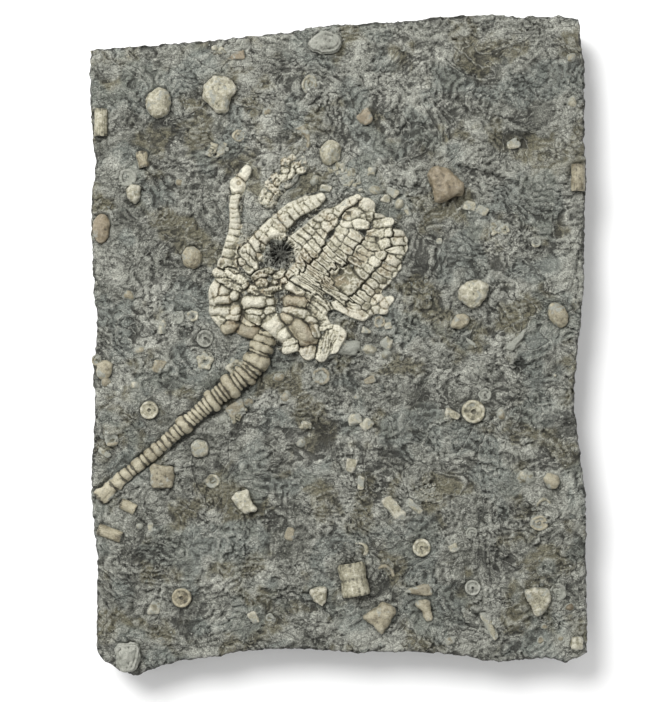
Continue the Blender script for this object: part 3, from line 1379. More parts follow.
@dataclass
class Crown:
    """The arms and the cup: plates that share a fine grid and meet at thin seams.

    Every grid point belongs to the plate that it lies nearest to, measured against the plate's
    own size, so neighbouring plates close up like a mosaic. The grid is then cut into one block
    for each node.
    """

    step: float = 0.15
    far: float = 9.0
    large_plate: float = 2.6
    worn_height: float = 0.16
    grain_height: float = 0.10
    seam_width: float = 0.13
    seam_depth: float = 0.25
    arm_seam_width: float = 0.26
    arm_seam_depth: float = 0.85
    spread: float = 1.08
    overhang: float = 1.06
    infill: float = 1.3
    wall: float = 0.4
    block_depth: float = 2.2
    low: Point = (-34.6, -5.6)
    high: Point = (19.4, 50.4)

    def build(self, rock: Surface) -> dict[str, Shape]:
        """Shapes the crown.

        Args:
            rock: the bedding surface that it lies in.

        Returns:
            A closed block for each node, and one named "crown_bed" for the rubble between them.
        """
        self._lay_grid(rock)
        self._share_out()
        seam, arm_seam, edge = self._gaps()
        height = self._plate_tops(seam, arm_seam)
        bed = self._bed()
        wall = smoothstep(edge, -0.05, self.wall)
        self.height = bed + (height - bed) * wall
        marks = self._marks(seam, arm_seam, wall)
        return self._cut(marks)

    def _lay_grid(self, rock: Surface) -> None:
        """Lays the grid and reads the CAD solids and the bedding surface under it."""
        run_x = np.arange(self.low[0], self.high[0], self.step)
        run_y = np.arange(self.low[1], self.high[1], self.step)
        self.x, self.y = np.meshgrid(run_x, run_y)
        self.size = self.x.shape
        self.flat = np.column_stack([self.x.ravel(), self.y.ravel()])
        solid = Surface(node_shape(*CROWN)).heights(self.flat).reshape(self.size)
        ground = rock.heights(self.flat).reshape(self.size)
        self.ground = np.where(np.isnan(ground), np.nanmean(ground), ground)
        self.cover = (~np.isnan(solid)).astype(float)
        skin, weight = np.nan_to_num(solid), self.cover
        near, far = (blurred(skin, cells) / np.maximum(blurred(weight, cells), 1e-6) for cells in (3.0, 12.0))
        trust = smoothstep(blurred(weight, 3.0), 0.02, 0.3)
        known = blurred(weight, 12.0) > 1e-3
        self.skin = np.where(known, near * trust + far * (1 - trust), self.ground)

    def _noise(self, noise: Noise, shift: float, wavelength: float, octaves: int,
               keep: float = 0.5) -> np.ndarray:
        """Octaves of a noise over the grid."""
        return noise.fractal(self.flat + shift, wavelength, octaves, keep).reshape(self.size)

    def _spread(self, values: Iterable[float]) -> np.ndarray:
        """One number for each plate, read at every grid point."""
        return np.array(list(values))[np.maximum(self.owner, 0)]

    def _share_out(self) -> None:
        """Gives every grid point to a plate, and keeps how near its own and its rivals lie."""
        noise = Noise(Seed.PLATE_OUTLINES)
        bend = [0.2 * self._noise(noise, shift, 2.2, 3, 0.55) for shift in (0.0, 70.0)]
        x, y = self.x + bend[0], self.y + bend[1]
        self.best = np.full(self.size, self.far)
        self.rival = np.full(self.size, self.far)
        self.owner = np.full(self.size, -1)
        self.nearest = {}
        self.plates, self.nodes = [], []
        for name, cluster in CROWN.items():
            nearest = np.full(self.size, self.far)
            for row in cluster.plates:
                plate = Plate(*row)
                reach = 1.1 * math.hypot(plate.long, plate.wide)
                window = self._window(plate.x, plate.y, reach)
                turn = math.radians(plate.turn)
                dx, dy = x[window] - plate.x, y[window] - plate.y
                ahead = (dx * math.cos(turn) + dy * math.sin(turn)) / (plate.long / 2)
                aside = (dy * math.cos(turn) - dx * math.sin(turn)) / (plate.wide / 2)
                square = 2.4 + 2.2 * min(max(plate.long / plate.wide - 1.15, 0.0), 2.0)
                away = (np.abs(ahead) ** square + np.abs(aside) ** square) ** (1 / square) / self.spread
                closer = away < self.best[window]
                self.rival[window] = np.where(closer, self.best[window], np.minimum(self.rival[window], away))
                self.best[window] = np.where(closer, away, self.best[window])
                self.owner[window] = np.where(closer, len(self.plates), self.owner[window])
                nearest[window] = np.minimum(nearest[window], away)
                self.plates.append(plate)
                self.nodes.append(name)
            self.nearest[name] = nearest
        self.breadth = self._spread(min(plate.long, plate.wide) for plate in self.plates)

    def _window(self, x: float, y: float, reach: float) -> tuple[slice, ...]:
        """The part of the grid within reach of a place."""
        columns = (np.array([x - reach, x + reach]) - self.low[0]) / self.step
        rows = (np.array([y - reach, y + reach]) - self.low[1]) / self.step
        return tuple(slice(max(int(run[0]), 0), max(int(run[1]), 0)) for run in (rows, columns))

    def _slope(self, field_values: np.ndarray) -> np.ndarray:
        """How fast a field changes, per millimetre, and never quite zero."""
        up, across = np.gradient(field_values, self.step)
        return np.maximum(np.hypot(up, across), 0.25)

    def _gaps(self) -> tuple[np.ndarray, np.ndarray, np.ndarray]:
        """How far every grid point lies from a seam, from the nearest other limb and from the rim."""
        names = list(self.nearest)
        limbs = [name if name.startswith("arm") and name != "arm_base_right" else "cup" for name in names]
        kin = sorted(set(limbs))
        stack = np.stack([
            np.minimum.reduce([self.nearest[name] for name, limb in zip(names, limbs) if limb == one])
            for one in kin
        ])
        home = np.array([names.index(node) for node in self.nodes] + [0])[self.owner]
        limb_of = np.array([kin.index(limb) for limb in limbs])[home]
        own = np.take_along_axis(stack, limb_of[None], axis=0)[0]
        np.put_along_axis(stack, limb_of[None], self.far, axis=0)
        other = stack.min(axis=0)
        self.home = np.where(self.owner >= 0, home, -1)
        gap = self.rival - self.best
        apart = other - own
        seam = gap / self._slope(np.minimum(gap, 1.5))
        arm_seam = apart / self._slope(np.minimum(apart, 1.5))
        filled = smoothstep(blurred((self.best < self.overhang).astype(float), 5.0), 0.42, 0.58)
        ragged = self._noise(Noise(Seed.CROWN_RIM), 0.0, 1.6, 3, 0.6)
        self.limit = self.overhang + self.infill * filled + 0.22 * ragged * (1 - filled)
        room = self.limit - self.best
        edge = room / self._slope(np.clip(room, -1.0, 3.0))
        return seam, arm_seam, edge

    def _plate_tops(self, seam: np.ndarray, arm_seam: np.ndarray) -> np.ndarray:
        """Height of the plates, with their domes, seams and worn grain."""
        clusters = [CROWN[node] for node in self.nodes]
        large = self.breadth > self.large_plate
        draw = np.random.default_rng(Seed.PLATE_TILTS.value)
        domed = self._spread(1.35 if node.startswith("cup") else 1.0 for node in self.nodes)
        bulge = self._spread(cluster.bulge for cluster in clusters)
        bulge = bulge * domed * np.minimum(0.14 + 0.17 * self.breadth, 0.85)
        rough = self._spread(cluster.rough for cluster in clusters)
        lift = self._spread(
            plate.lift + LAPS.get(node, 0.0) + draw.normal(0, 0.06)
            for plate, node in zip(self.plates, self.nodes)
        )
        square = self._spread(
            2.2 + 2.0 * min(max(plate.long / plate.wide - 1.2, 0.0), 2.0) for plate in self.plates
        )
        tilt_x, tilt_y = (self._spread(draw.normal(0, 0.05, len(self.plates))) for _ in range(2))
        middle_x = self._spread(plate.x for plate in self.plates)
        middle_y = self._spread(plate.y for plate in self.plates)
        height = self.skin + lift + tilt_x * (self.x - middle_x) + tilt_y * (self.y - middle_y)
        height += bulge * (np.maximum(1 - np.minimum(self.best * 0.93, 1.2) ** (square + 0.8), -0.5) - 0.5)
        noise = Noise(Seed.PLATE_WEAR)
        worn = self._noise(noise, 0.0, 2.8, 3)
        grain = self._noise(noise, 60.0, 0.9, 2, 0.7)
        lumps = noise.ridged(self.flat + 90.0, 1.5, 2).reshape(self.size)
        height += self.worn_height * worn + self.grain_height * grain
        height += 2.0 * rough * (lumps - 0.5) + 1.6 * rough * grain
        open_seam = smoothstep(self._noise(noise, 140.0, 3.0, 2), -0.45, 0.15)
        depth = self.seam_depth * (0.05 + 0.8 * open_seam) * np.where(large, 0.6, 1.0)
        height -= depth * bell(seam, self.seam_width)
        height -= 0.12 * bell(seam, 0.35) - 0.6 * bell(arm_seam, 0.9)
        height -= 0.3 * bell(seam, 0.8) * large
        arm_depth = self.arm_seam_depth * (0.35 + 0.65 * open_seam)
        height -= arm_depth * bell(arm_seam, self.arm_seam_width)
        for hollow in HOLLOWS:
            height -= self._hollow(hollow)
        return height

    def _hollow(self, hollow: Hollow) -> np.ndarray:
        """How far a pit drops the grid, with the fibres that run out from its middle."""
        dx, dy = self.x - hollow.x, self.y - hollow.y
        away = np.hypot(dx, dy) / hollow.radius
        drop = hollow.depth * (1 - smoothstep(away, 0.35, 1.15))
        if hollow.fibres:
            angle = np.arctan2(dy, dx).ravel()
            around = np.column_stack([np.cos(angle), np.sin(angle), 0.55 * away.ravel()]) * 9.0
            spikes = Noise(Seed.CRATER).fractal(around, 3.4, 3, 0.75).reshape(self.size)
            drop += hollow.fibres * spikes * smoothstep(away, 0.1, 0.5) * (1 - smoothstep(away, 0.8, 1.4))
        return drop

    def _bed(self) -> np.ndarray:
        """Height of the crushed bed between the plates, which dips under the rock away from them."""
        near = blurred(self.cover, 9.0)
        for x, y, reach in BEDS:
            near = np.maximum(near, 1 - smoothstep(np.hypot(self.x - x, self.y - y) / reach, 0.6, 1.1))
        self.bedded = near
        noise = Noise(Seed.CROWN_BED)
        rubble = self._noise(noise, 0.0, 2.6, 4, 0.6)
        grain = self._noise(noise, 30.0, 0.9, 2, 0.8)
        rise = (self.skin - self.ground) * 0.8 * smoothstep(near, 0.2, 0.75)
        bed = self.ground - 0.35 + rise + (0.45 * rubble + 0.28 * grain) * smoothstep(near, 0.15, 0.5)
        for hollow in HOLLOWS:
            bed -= 0.7 * self._hollow(hollow)
        return bed + 0.5 * smoothstep(near, 0.2, 0.5)

    def _marks(self, seam: np.ndarray, arm_seam: np.ndarray, wall: np.ndarray) -> dict[str, np.ndarray]:
        """Marks for the finishes: tint, relief, root, shade and stain."""
        fine = standing_off(self.height, 2.0, 0.1)
        mid = standing_off(self.height, 7.0, 0.4)
        broad = standing_off(self.height, 20.0, 0.8)
        groove = np.where(self.breadth > self.large_plate, 0.1, 0.3) * bell(seam, self.seam_width) * wall
        groove += 0.5 * bell(arm_seam, 0.25) * wall
        relief = 0.35 * fine + 0.35 * mid + 0.4 * broad - 0.9 * groove
        draw = np.random.default_rng(Seed.PLATE_TONES.value)
        noise = Noise(Seed.CROWN_STAINS)
        tone = self._spread(plate.shade + draw.normal(-0.1, 0.2) for plate in self.plates)
        patches = self._noise(noise, 0.0, 5.0, 3, 0.6)
        shade = np.where(wall > 0.3, tone, 0.25) + 0.6 * patches
        shade -= 0.55 * round_spot((self.x + 18.0) / 13.0, (self.y - 10.0) / 8.0, 1.0)
        above = self.height - self.ground
        crater = round_spot(self.x - HOLLOWS[0].x, self.y - HOLLOWS[0].y, 3.0)
        root = 0.45 * (1 - smoothstep(above, -0.1, 0.9)) + 0.2 * (1 - wall) + 0.9 * crater
        rust = sum(round_spot(self.x - x, self.y - y, reach) for x, y, reach in RUST)
        stain = rust * smoothstep(self._noise(noise, 95.0, 1.5, 3, 0.6), -0.25, 0.4)
        stain += 0.4 * smoothstep(self._noise(noise, 50.0, 5.0, 3), 0.1, 0.45)
        tint = smoothstep(blurred(self.cover, 10.0), 0.1, 0.5) * smoothstep(patches, -0.5, 0.35)
        return {
            "tint": tint, "relief": np.clip(relief, -1, 1), "root": np.clip(root, 0, 1),
            "shade": np.clip(shade, -1, 1), "stain": np.clip(stain, 0, 1),
        }

    def _cut(self, marks: dict[str, np.ndarray]) -> dict[str, Shape]:
        """Cuts the grid into one closed block for each node and one for the bed."""
        inside = self.best < self.limit + 0.12
        names = list(self.nearest)
        places = np.where(inside, self.home, -1)
        blocks = {name: places[:-1, :-1] == index for index, name in enumerate(names)}
        blocks["crown_bed"] = (places[:-1, :-1] < 0) & (self.bedded[:-1, :-1] > 0.12)
        return {name: self._block(mask, marks) for name, mask in blocks.items()}

    def _block(self, mask: np.ndarray, marks: dict[str, np.ndarray]) -> Shape:
        """The part of the grid under some of its cells, as a closed block."""
        mask = np.pad(mask, 1)
        for _ in range(6):
            a, b, c, d = mask[:-1, :-1], mask[:-1, 1:], mask[1:, :-1], mask[1:, 1:]
            touching = (a & d & ~b & ~c) | (b & c & ~a & ~d)
            if not touching.any():
                break
            mask[:-1, :-1] |= touching
            mask[:-1, 1:] |= touching
        mask = mask[1:-1, 1:-1]
        numbers = np.arange(self.size[0] * self.size[1]).reshape(self.size)
        corners_of = [numbers[:-1, :-1], numbers[:-1, 1:], numbers[1:, 1:], numbers[1:, :-1]]
        quads = np.stack([corner[mask] for corner in corners_of], axis=1)
        used, index = np.unique(quads, return_inverse=True)
        quads = index.reshape(-1, 4)
        top = np.column_stack([self.flat[used], self.height.ravel()[used]])
        floor = np.minimum(self.ground.ravel()[used], top[:, 2]) - self.block_depth
        bottom = np.column_stack([self.flat[used], floor])
        ahead = np.stack([quads, np.roll(quads, -1, axis=1)], axis=2).reshape(-1, 2)
        keys, back = ahead[:, 0] * len(used) + ahead[:, 1], ahead[:, 1] * len(used) + ahead[:, 0]
        rim = ahead[~np.isin(keys, back)]
        walls = np.column_stack([rim[:, 1], rim[:, 0], rim[:, 0] + len(used), rim[:, 1] + len(used)])
        faces = np.vstack([quads, quads[:, ::-1] + len(used), walls])
        shape = Shape(np.vstack([top, bottom]), faces.tolist())
        for label, values in marks.items():
            shape.mark(label, np.tile(values.ravel()[used], 2))
        return shape


LAPS = {"arm_left_free": 0.2, "arm_upper": 0.5, "arm_second": 0.5, "arm_third": 0.3, "arm_fourth": 0.15}
BEDS = (
    (-15.0, 24.0, 6.6), (-17.5, 14.5, 6.0), (-12.0, 9.0, 5.0), (-20.5, 21.0, 6.0), (-27.0, 17.5, 4.5),
    (-24.0, 28.0, 4.5), (-9.5, 19.0, 4.0), (-24.5, 12.0, 4.0), (-14.5, 45.0, 5.0), (7.5, 11.0, 4.0),
)
HOLLOWS = (
    Hollow(-14.9, 24.0, 3.7, 2.4, 2.2), Hollow(-25.8, 42.2, 0.9, 0.7), Hollow(0.6, 19.2, 0.9, 0.6),
    Hollow(-14.0, 34.2, 0.4, 0.4), Hollow(-12.4, 1.1, 1.0, 0.45), Hollow(-19.8, 15.6, 1.3, 0.6),
    Hollow(-14.2, 15.2, 1.2, 0.7), Hollow(-12.2, 13.4, 1.1, 0.7), Hollow(-10.4, 15.0, 1.4, 0.6),
    Hollow(-17.6, 26.4, 1.5, 0.7),
)
RUST = ((-15.0, 16.4, 1.1), (-13.8, 17.6, 0.8), (-20.8, 23.2, 0.9), (-7.0, 33.5, 0.8), (-19.5, 15.0, 1.4))
CROWN = {
    "arm_left_free": Cluster("cream", 1.0, 0.0, (
        (-28.9, 21.5, 4.5, 2.6, -5), (-28.3, 23.9, 3.7, 2.4, -8), (-27.8, 26, 3.3, 2, -8),
        (-27.4, 27.8, 3.1, 1.8, -10), (-27.1, 29.4, 2.9, 1.6, -8), (-26.9, 31, 2.8, 1.9, -5),
        (-26.8, 32.5, 2.6, 1.4, 0), (-26.9, 33.8, 2.5, 1.2, 0), (-27.1, 34.9, 2.1, 1.2, 0, 0.1),
        (-27.2, 36.2, 2.3, 1.3, 0, 0.2), (-27.1, 37.4, 2.2, 1.2, 0, 0.1), (-26.9, 38.6, 2.6, 1.2, 5),
        (-26.2, 41.6, 4.1, 3.8, -75, 0.1, 0.2), (-24.2, 45, 4, 2.6, 62, 0.2, 0.5),
    )),
    "arm_tip_broken": Cluster("cream", 1.3, 0.14, (
        (-17.2, 40.8, 3.4, 1.4, -38, 0, 0.4), (-18, 42, 2.9, 1.1, -38, 0, 0.3),
        (-16.2, 42.9, 2.3, 3, 10), (-14.4, 43.6, 2.4, 2.1, 0), (-13.9, 45.4, 2.4, 2, 20),
        (-12.2, 44.6, 1.4, 2.8, -30, 0, 0.5), (-13.5, 47.6, 2.6, 2.4, 0, -0.1),
        (-11.3, 46.8, 2.4, 2.2, 0, -0.2, -0.3), (-9.5, 45.4, 2.4, 1.8, 0, 0, 0.2),
        (-11.9, 48.9, 2.4, 1.8, 0, -0.2), (-9.3, 48, 2.4, 2.4, 0, -0.3, -0.3),
        (-19.1, 38.6, 4.1, 3.3, 60, -0.5, 0.5),
    )),
    "arm_upper": Cluster("cream", 1.0, 0.02, (
        (-4.5, 38.5, 2.5, 2.4, 35, 0, 0.2), (-6.1, 37.5, 3.1, 1.8, -50, 0, 0.1),
        (-7.6, 36.7, 3.2, 1.5, -52), (-9, 35.9, 3.3, 1.4, -52, 0, 0.2), (-10.3, 35.3, 3.3, 1.5, -50),
        (-11.9, 34.5, 3.8, 1.8, -50), (-8.6, 38.2, 1.4, 1.4, 0), (-9.9, 37.6, 1.4, 1.4, 0),
        (-11.3, 37, 1.5, 1.4, 0), (-12.7, 36.3, 1.7, 1.4, 0), (-14, 35.3, 1.6, 1.4, 0),
        (-15.1, 34.5, 1.4, 1.3, 0), (-16.4, 33.5, 1.5, 1.3, 0), (-13.8, 32.8, 4.2, 2.6, -48, 0.05),
        (-15.7, 31.1, 4.4, 2.2, -44), (-16.4, 28.8, 4.9, 3.2, -28, 0.15, 0.1),
        (-17.8, 31.7, 2.4, 1.8, 40), (-19, 30.3, 2.5, 2.4, 40), (-20.5, 28.8, 2.1, 2.1, 40),
        (-19.2, 28.1, 2.9, 2.3, -20), (-21.5, 26.5, 3.7, 1.8, -55, 0.15, 0.3),
        (-23.4, 25.2, 2.5, 1.5, -50, 0, 0.1), (-22.5, 24.2, 3.7, 1.3, -52, 0.1, 0.2),
        (-23.8, 22.9, 4.1, 1.3, -50, 0.15, 0.4), (-22.3, 21.6, 3.4, 1, -48, 0.2, 0.5),
        (-24.6, 24.7, 1.8, 1.4, 60, 0, 0.1), (-25, 21.7, 2.1, 1.8, 0, -0.2),
        (-23.4, 19.9, 2.6, 1.6, -30, -0.2), (-19.6, 25.5, 2.4, 1.8, -30, -0.4, -0.3),
        (-20.7, 23.1, 2.4, 1.8, -30, -0.3, -0.3),
    )),
    "arm_second": Cluster("cream", 1.0, 0.03, (
        (-11.5, 26.1, 3.9, 1.4, -38, 0.05, 0.2), (-10.4, 27.5, 4, 1.4, -38),
        (-9, 28.8, 3.8, 1.5, -40, 0.05), (-7.6, 30, 3.3, 1.4, -40), (-10.6, 23.8, 2.9, 1.4, -60, -0.05),
        (-9.9, 21.9, 3.5, 1.4, -62), (-8.6, 23.3, 3.7, 1.4, -55, 0, 0.1),
        (-7.4, 24.7, 3.7, 1.5, -50, 0.05, 0.3), (-6.3, 26, 3.5, 1.5, -50, 0.1, 0.7),
        (-5.2, 27.5, 3.3, 1.4, -50, 0.1, 0.4), (-4.1, 29, 2.6, 1.4, -50, 0.1, 0.4),
        (-11.3, 19.7, 3, 1.7, -50, -0.1, 0.2), (-9.7, 20.2, 2.5, 1.3, -55),
        (-12.7, 18.5, 2.5, 1.6, 40, -0.2), (-6.7, 31.7, 2.5, 1.7, -30, 0.1),
        (-5.2, 32.9, 2.5, 1.7, 0, 0.15), (-5.5, 31.1, 2.1, 1.7, -20), (-3.7, 33.7, 2.5, 1.8, 0, 0.1),
        (-2.2, 33.1, 2.5, 2.1, 0, 0.2, 0.1), (-3.1, 30.9, 2.8, 2.4, 0, 0.35, 0.4),
        (-1.4, 31.9, 2.1, 2.1, 0, 0.1), (-2.9, 34.7, 2.5, 1.5, 10), (-0.6, 34.4, 1.8, 1.7, 0, 0.1),
        (0.4, 35.5, 2.5, 1.8, 40, 0.2, 0.3), (1.8, 36.6, 2.5, 2.1, 40, 0.3, 0.4),
        (3.6, 37.6, 2.1, 1.8, 0, 0.2, 0.4), (4.9, 38.6, 1.7, 1.5, 0, 0.1, 0.4),
    )),
    "arm_third": Cluster("cream", 0.85, 0.0, (
        (-8.4, 15.2, 8, 1.1, -33, 0.12, 0.6), (-7.7, 16.1, 7.7, 0.8, -34, 0.05, 0.4),
        (-7, 16.9, 7.4, 0.9, -34, 0.05, 0.4), (-6, 17.6, 6.4, 1.1, -34, 0.05, 0.2),
        (-5.9, 19, 5.6, 1.1, -35), (-3.9, 19, 3, 1.1, -33), (-5.1, 20.3, 3.8, 1.3, -36),
        (-3.5, 21.1, 4, 1.3, -40), (-2.9, 22.4, 3.7, 1.4, -42), (-1.4, 20.4, 3.7, 1.3, -42),
        (-2.1, 23.9, 3.4, 1.4, -42), (-0.2, 22, 3.7, 1.4, -40), (-1.4, 25.5, 3.3, 1.4, -44),
        (0.8, 23.5, 3.7, 1.5, -38), (-0.6, 26.8, 3.1, 1.5, -45), (1.9, 24.9, 3.7, 1.6, -35, 0, 0.1),
        (0.4, 28.2, 2.9, 1.7, -40, 0.1, 0.1), (2.9, 26.6, 3.6, 1.9, -32, 0.1, 0.3),
        (1, 29.7, 3, 1.8, -30, 0.15, 0.3), (4.2, 28.5, 3.5, 2.1, -28, 0.25, 0.5),
        (2.1, 31.4, 2.8, 2.1, 0, 0.3, 0.3), (5.7, 31.7, 3.7, 2.5, -10, 0.55, 1.2),
        (4, 34.1, 3.8, 2.7, 0, 0.3, 0.3), (7.5, 36.4, 3.3, 3.7, 60, 0.1, 0.2),
        (6.4, 33.3, 2.4, 1.7, 0, 0.1), (7.8, 33.5, 2.1, 2.5, 0, -0.1, -0.2),
        (2.3, 33.2, 2.1, 2.1, 0, 0.15, 0.1),
    )),
    "arm_fourth": Cluster("cream", 0.8, 0.03, (
        (-2.4, 14.4, 7.2, 1.2, -33, 0, 0.2), (-1.4, 13.3, 7.6, 1, -33, 0.05, 0.4),
        (-2.9, 15.8, 5.6, 1.1, -33), (0.4, 13, 6, 1.1, -30, 0.05, 0.4), (-2.7, 17.1, 3, 1.4, -40),
        (2, 17, 8, 5.4, -38, -0.05, -0.05), (-0.4, 19, 3.6, 2.8, -38, -0.05, -0.1),
        (6.2, 18.9, 3.6, 1.9, -45), (4.4, 21.7, 4.5, 1.6, -32), (5.8, 23, 4.3, 1.5, -30, 0, 0.1),
        (7, 20.4, 3.8, 2.1, -45), (6.6, 24.3, 4.6, 1.7, -28, 0.1, 0.3),
        (9.2, 21.9, 3, 2.3, -20, 0.1, 0.1), (8.5, 25.8, 4.1, 1.8, -15, 0.1, 0.4),
        (11, 23.4, 2.8, 2, -10, 0.1, 0.3), (11.8, 26.4, 3.6, 2.1, 10, 0.15, 0.4),
        (9.8, 29.2, 4.5, 2, 5, 0.2, 0.4), (12.9, 29.3, 2.4, 2.1, 0, 0.1, 0.3),
        (11.8, 31.9, 5, 1.9, 12, 0.15, 0.2), (10.6, 33.7, 2.5, 1.3, 0, -0.1), (8.2, 27.6, 2.2, 1.6, 0),
    )),
    "arm_outer": Cluster("cream", 1.0, 0.0, (
        (15.5, 29.2, 3.2, 1.8, -5, 0.1, 0.2), (15.3, 27, 3.7, 1.8, -3, 0.15, 0.4),
        (15, 24.8, 4.1, 1.8, -5, 0.15, 0.4), (13.9, 22.1, 3.7, 2.1, -25, 0.1, 0.3),
        (12.9, 20.4, 3.8, 1.7, -28), (11.8, 18.9, 3.8, 1.6, -30), (10.6, 17.5, 4, 1.6, -32),
        (8.9, 16.1, 3, 1.8, -35), (7.6, 14.4, 3.8, 1.5, -38), (6.4, 13, 4.2, 1.4, -38),
        (5, 11.8, 4.2, 1.4, -38), (3.6, 10.4, 4.2, 1.4, -35, 0, 0.2), (17.5, 27.5, 1.4, 1.5, 0, -0.2),
        (17.4, 25.2, 1.5, 1.8, 0, -0.2), (15.8, 23.3, 1.4, 1.3, 0, -0.2),
        (15.9, 20.3, 1.4, 1.5, 0, -0.2), (14.5, 18.5, 1.4, 1.5, 0, -0.2),
        (12.9, 16.7, 1.5, 1.5, 0, -0.2), (11.4, 15.5, 1.7, 1.4, 0, -0.2),
        (10.2, 14.3, 1.7, 1.5, 0, -0.1), (4.9, 8.1, 4.9, 2.4, -20, 0.25, 0.3),
        (0.6, 9.5, 5.1, 1.5, -32, 0.15, 0.8), (7.2, 10.4, 2.5, 1.8, 20, 0.1),
        (9, 11.4, 1.8, 1.8, 0, 0.1, 0.1), (10.1, 12.4, 2.5, 2.1, 0, 0.25, 0.2),
        (11.8, 10.8, 2.1, 2.5, 0, 0.1), (13.3, 12, 2.6, 2.1, 45, 0.15, 0.7),
        (9.7, 9.4, 2.5, 2.1, 0, 0.1, 0.1), (11.6, 8.9, 2.5, 1.8, 0, 0.1), (8.2, 8.8, 1.7, 1.5, 0),
    )),
    "cup_ridge_left": Cluster("cream", 1.3, 0.1, (
        (-30.6, 18.5, 3.7, 2.1, -30, 0.1, 0.2), (-32, 19.1, 2.1, 1.9, -40, 0.15, 0.4),
        (-27.8, 18.3, 3.9, 1.8, -30, 0.15, 0.3), (-25.4, 17.1, 3.2, 2.2, -35, 0.2, 0.5),
        (-29.2, 16.8, 4.6, 1.5, -20, 0, 0.1), (-27, 15.4, 4.4, 1.8, -25, 0.15, 0.4),
        (-27.8, 19.8, 3.7, 1.3, -30, -0.2, -0.1), (-24.4, 15.7, 2.1, 1.5, 45, 0.1, 0.3),
    )),
    "cup_plate_left_upper": Cluster("cream", 1.2, 0.0, (
        (-32.3, 14.2, 4.6, 2.4, 78, 0, 0.2), (-30, 13.9, 3.5, 3.2, 0, -0.2, -0.4),
        (-30.4, 11.7, 5.5, 2.7, 6, 0.25, 0.2), (-27.1, 13.1, 3, 2.2, 60, 0, 0.1),
    )),
    "cup_plate_left_lower": Cluster("cream", 1.2, 0.02, (
        (-30.4, 9, 6, 3.2, -12, 0.2, 0.2), (-30.9, 6.9, 3.9, 2.8, -48, 0.1),
        (-27, 9.2, 3.7, 2.6, 75, 0.1, 0.3), (-27.8, 7.5, 4.2, 2.1, -15, 0.2, 0.2),
    )),
    "cup_plate_left_base": Cluster("tan", 1.3, 0.0, (
        (-28, 5.2, 4.9, 3.2, 20, 0.2, 0.1),
    )),
    "cup_plate_front": Cluster("tan", 1.3, 0.0, (
        (-23.4, 3.9, 5.3, 3.2, -12, 0.35, -0.5), (-23.6, 6, 3.9, 1.5, -35, 0.35, 0.9),
    )),
    "cup_ridge_middle": Cluster("cream", 1.3, 0.1, (
        (-20.4, 18.6, 3.9, 1.8, 20, 0.1, 0.4), (-18.4, 19.4, 3, 1.5, 20, 0.1, 0.5),
        (-19.9, 16.3, 3, 2.6, 0, -0.25, -0.2), (-21.8, 14.2, 3, 2, -30, 0.1, 0.5),
        (-18.8, 13.9, 3.5, 1.9, -20, 0.1, 0.2), (-15.5, 18.4, 3, 1.9, 30, 0.1, 0.5),
        (-16.2, 16.6, 2.1, 1.9, 0, 0, -0.6), (-16.4, 14.8, 3.9, 1.6, 20, 0),
        (-14.2, 16.9, 1.8, 1.9, 0, -0.1, -0.3),
    )),
    "cup_plate_middle_upper": Cluster("cream", 1.3, 0.02, (
        (-21.7, 11.3, 6, 3.2, 4, 0.5, 0.2), (-17.7, 11.3, 2.8, 2.6, 0, 0.1, -0.2),
    )),
    "cup_plate_middle_lower": Cluster("cream", 1.3, 0.02, (
        (-21.5, 8.8, 4.2, 1.9, -5, 0.35, 0.4), (-18, 9.1, 3, 2.2, 35, 0.35, 0.5),
        (-21.8, 6.9, 4.6, 2.1, -15, 0.15, 0.1), (-19.6, 7.5, 2.1, 1.4, 40, 0.1, 0.1),
    )),
    "cup_plate_long": Cluster("cream", 1.0, 0.02, (
        (-17, 5.6, 6.7, 4.4, -45, 0.35, 0.6), (-14.2, 3.1, 4.4, 3.9, -48, 0.3, 0.5),
        (-12.5, 1, 3.5, 1.9, 20, 0.3, 0.2), (-12.7, -0.9, 4.2, 1.9, 15, 0.1, 0.1),
    )),
    "cup_plate_cap": Cluster("tan", 1.3, 0.0, (
        (-10.9, 11.4, 6.2, 3.2, 0, 0.35, 0.4),
    )),
    "cup_plate_shoulder": Cluster("cream", 1.2, 0.0, (
        (-10.5, 8.6, 7.2, 2.6, -18, 0.3, 0.2), (-7.2, 6.6, 3.9, 3, -30, 0.25, 0),
        (-6.3, 4.1, 4.4, 2.6, -75, 0.15, -0.2),
    )),
    "cup_plate_oval": Cluster("tan", 1.3, 0.0, (
        (-13.3, 7, 3.9, 2.8, -35, 0.4, 0.5), (-9.5, 3.6, 8.1, 5, -42, 0.45, 0.2),
    )),
    "cup_plate_crescent": Cluster("cream", 0.8, 0.0, (
        (-11.3, 14.5, 5.6, 1.7, -33, 0.15, 0.4),
    )),
    "arm_base_right": Cluster("cream", 0.9, 0.03, (
        (-7.2, 12.4, 3.7, 1.7, -45, 0.1, 0.3), (-4.6, 11.7, 5.8, 1.3, -43, 0.15, 0.7),
        (-5.8, 10.6, 6.3, 1.2, -43, 0.1, 0.5), (-6.6, 9.3, 4.6, 1.4, -40, 0.05, 0.1),
        (-4.9, 7.5, 4.6, 2.3, -40, 0.05, -0.1), (-3.8, 6.1, 3, 2.1, -30, 0),
        (-2.7, 10.8, 3, 1, -45, 0, 0.3),
    )),
    "pinnule_fan": Cluster("cream", 0.9, 0.05, (
        (-4.8, -0.5, 6.5, 0.9, 80, 0, 0.1), (-3.9, -0.3, 7.4, 0.9, 78, 0.1, -0.1),
        (-3.1, -0.1, 7.7, 0.8, 76, 0.15, 0.2), (-2.2, 0.2, 7.2, 0.8, 73, 0.1, -0.1),
        (-1.5, 0.9, 6, 0.8, 70, 0, 0.2), (-7.8, -1.6, 3.9, 3.5, 40, -0.1, 0.1),
        (-0.4, 0.1, 4.2, 1.8, 65, 0.1, 0.6), (0, 2.3, 3.2, 1.3, -25, 0.15, 0.7),
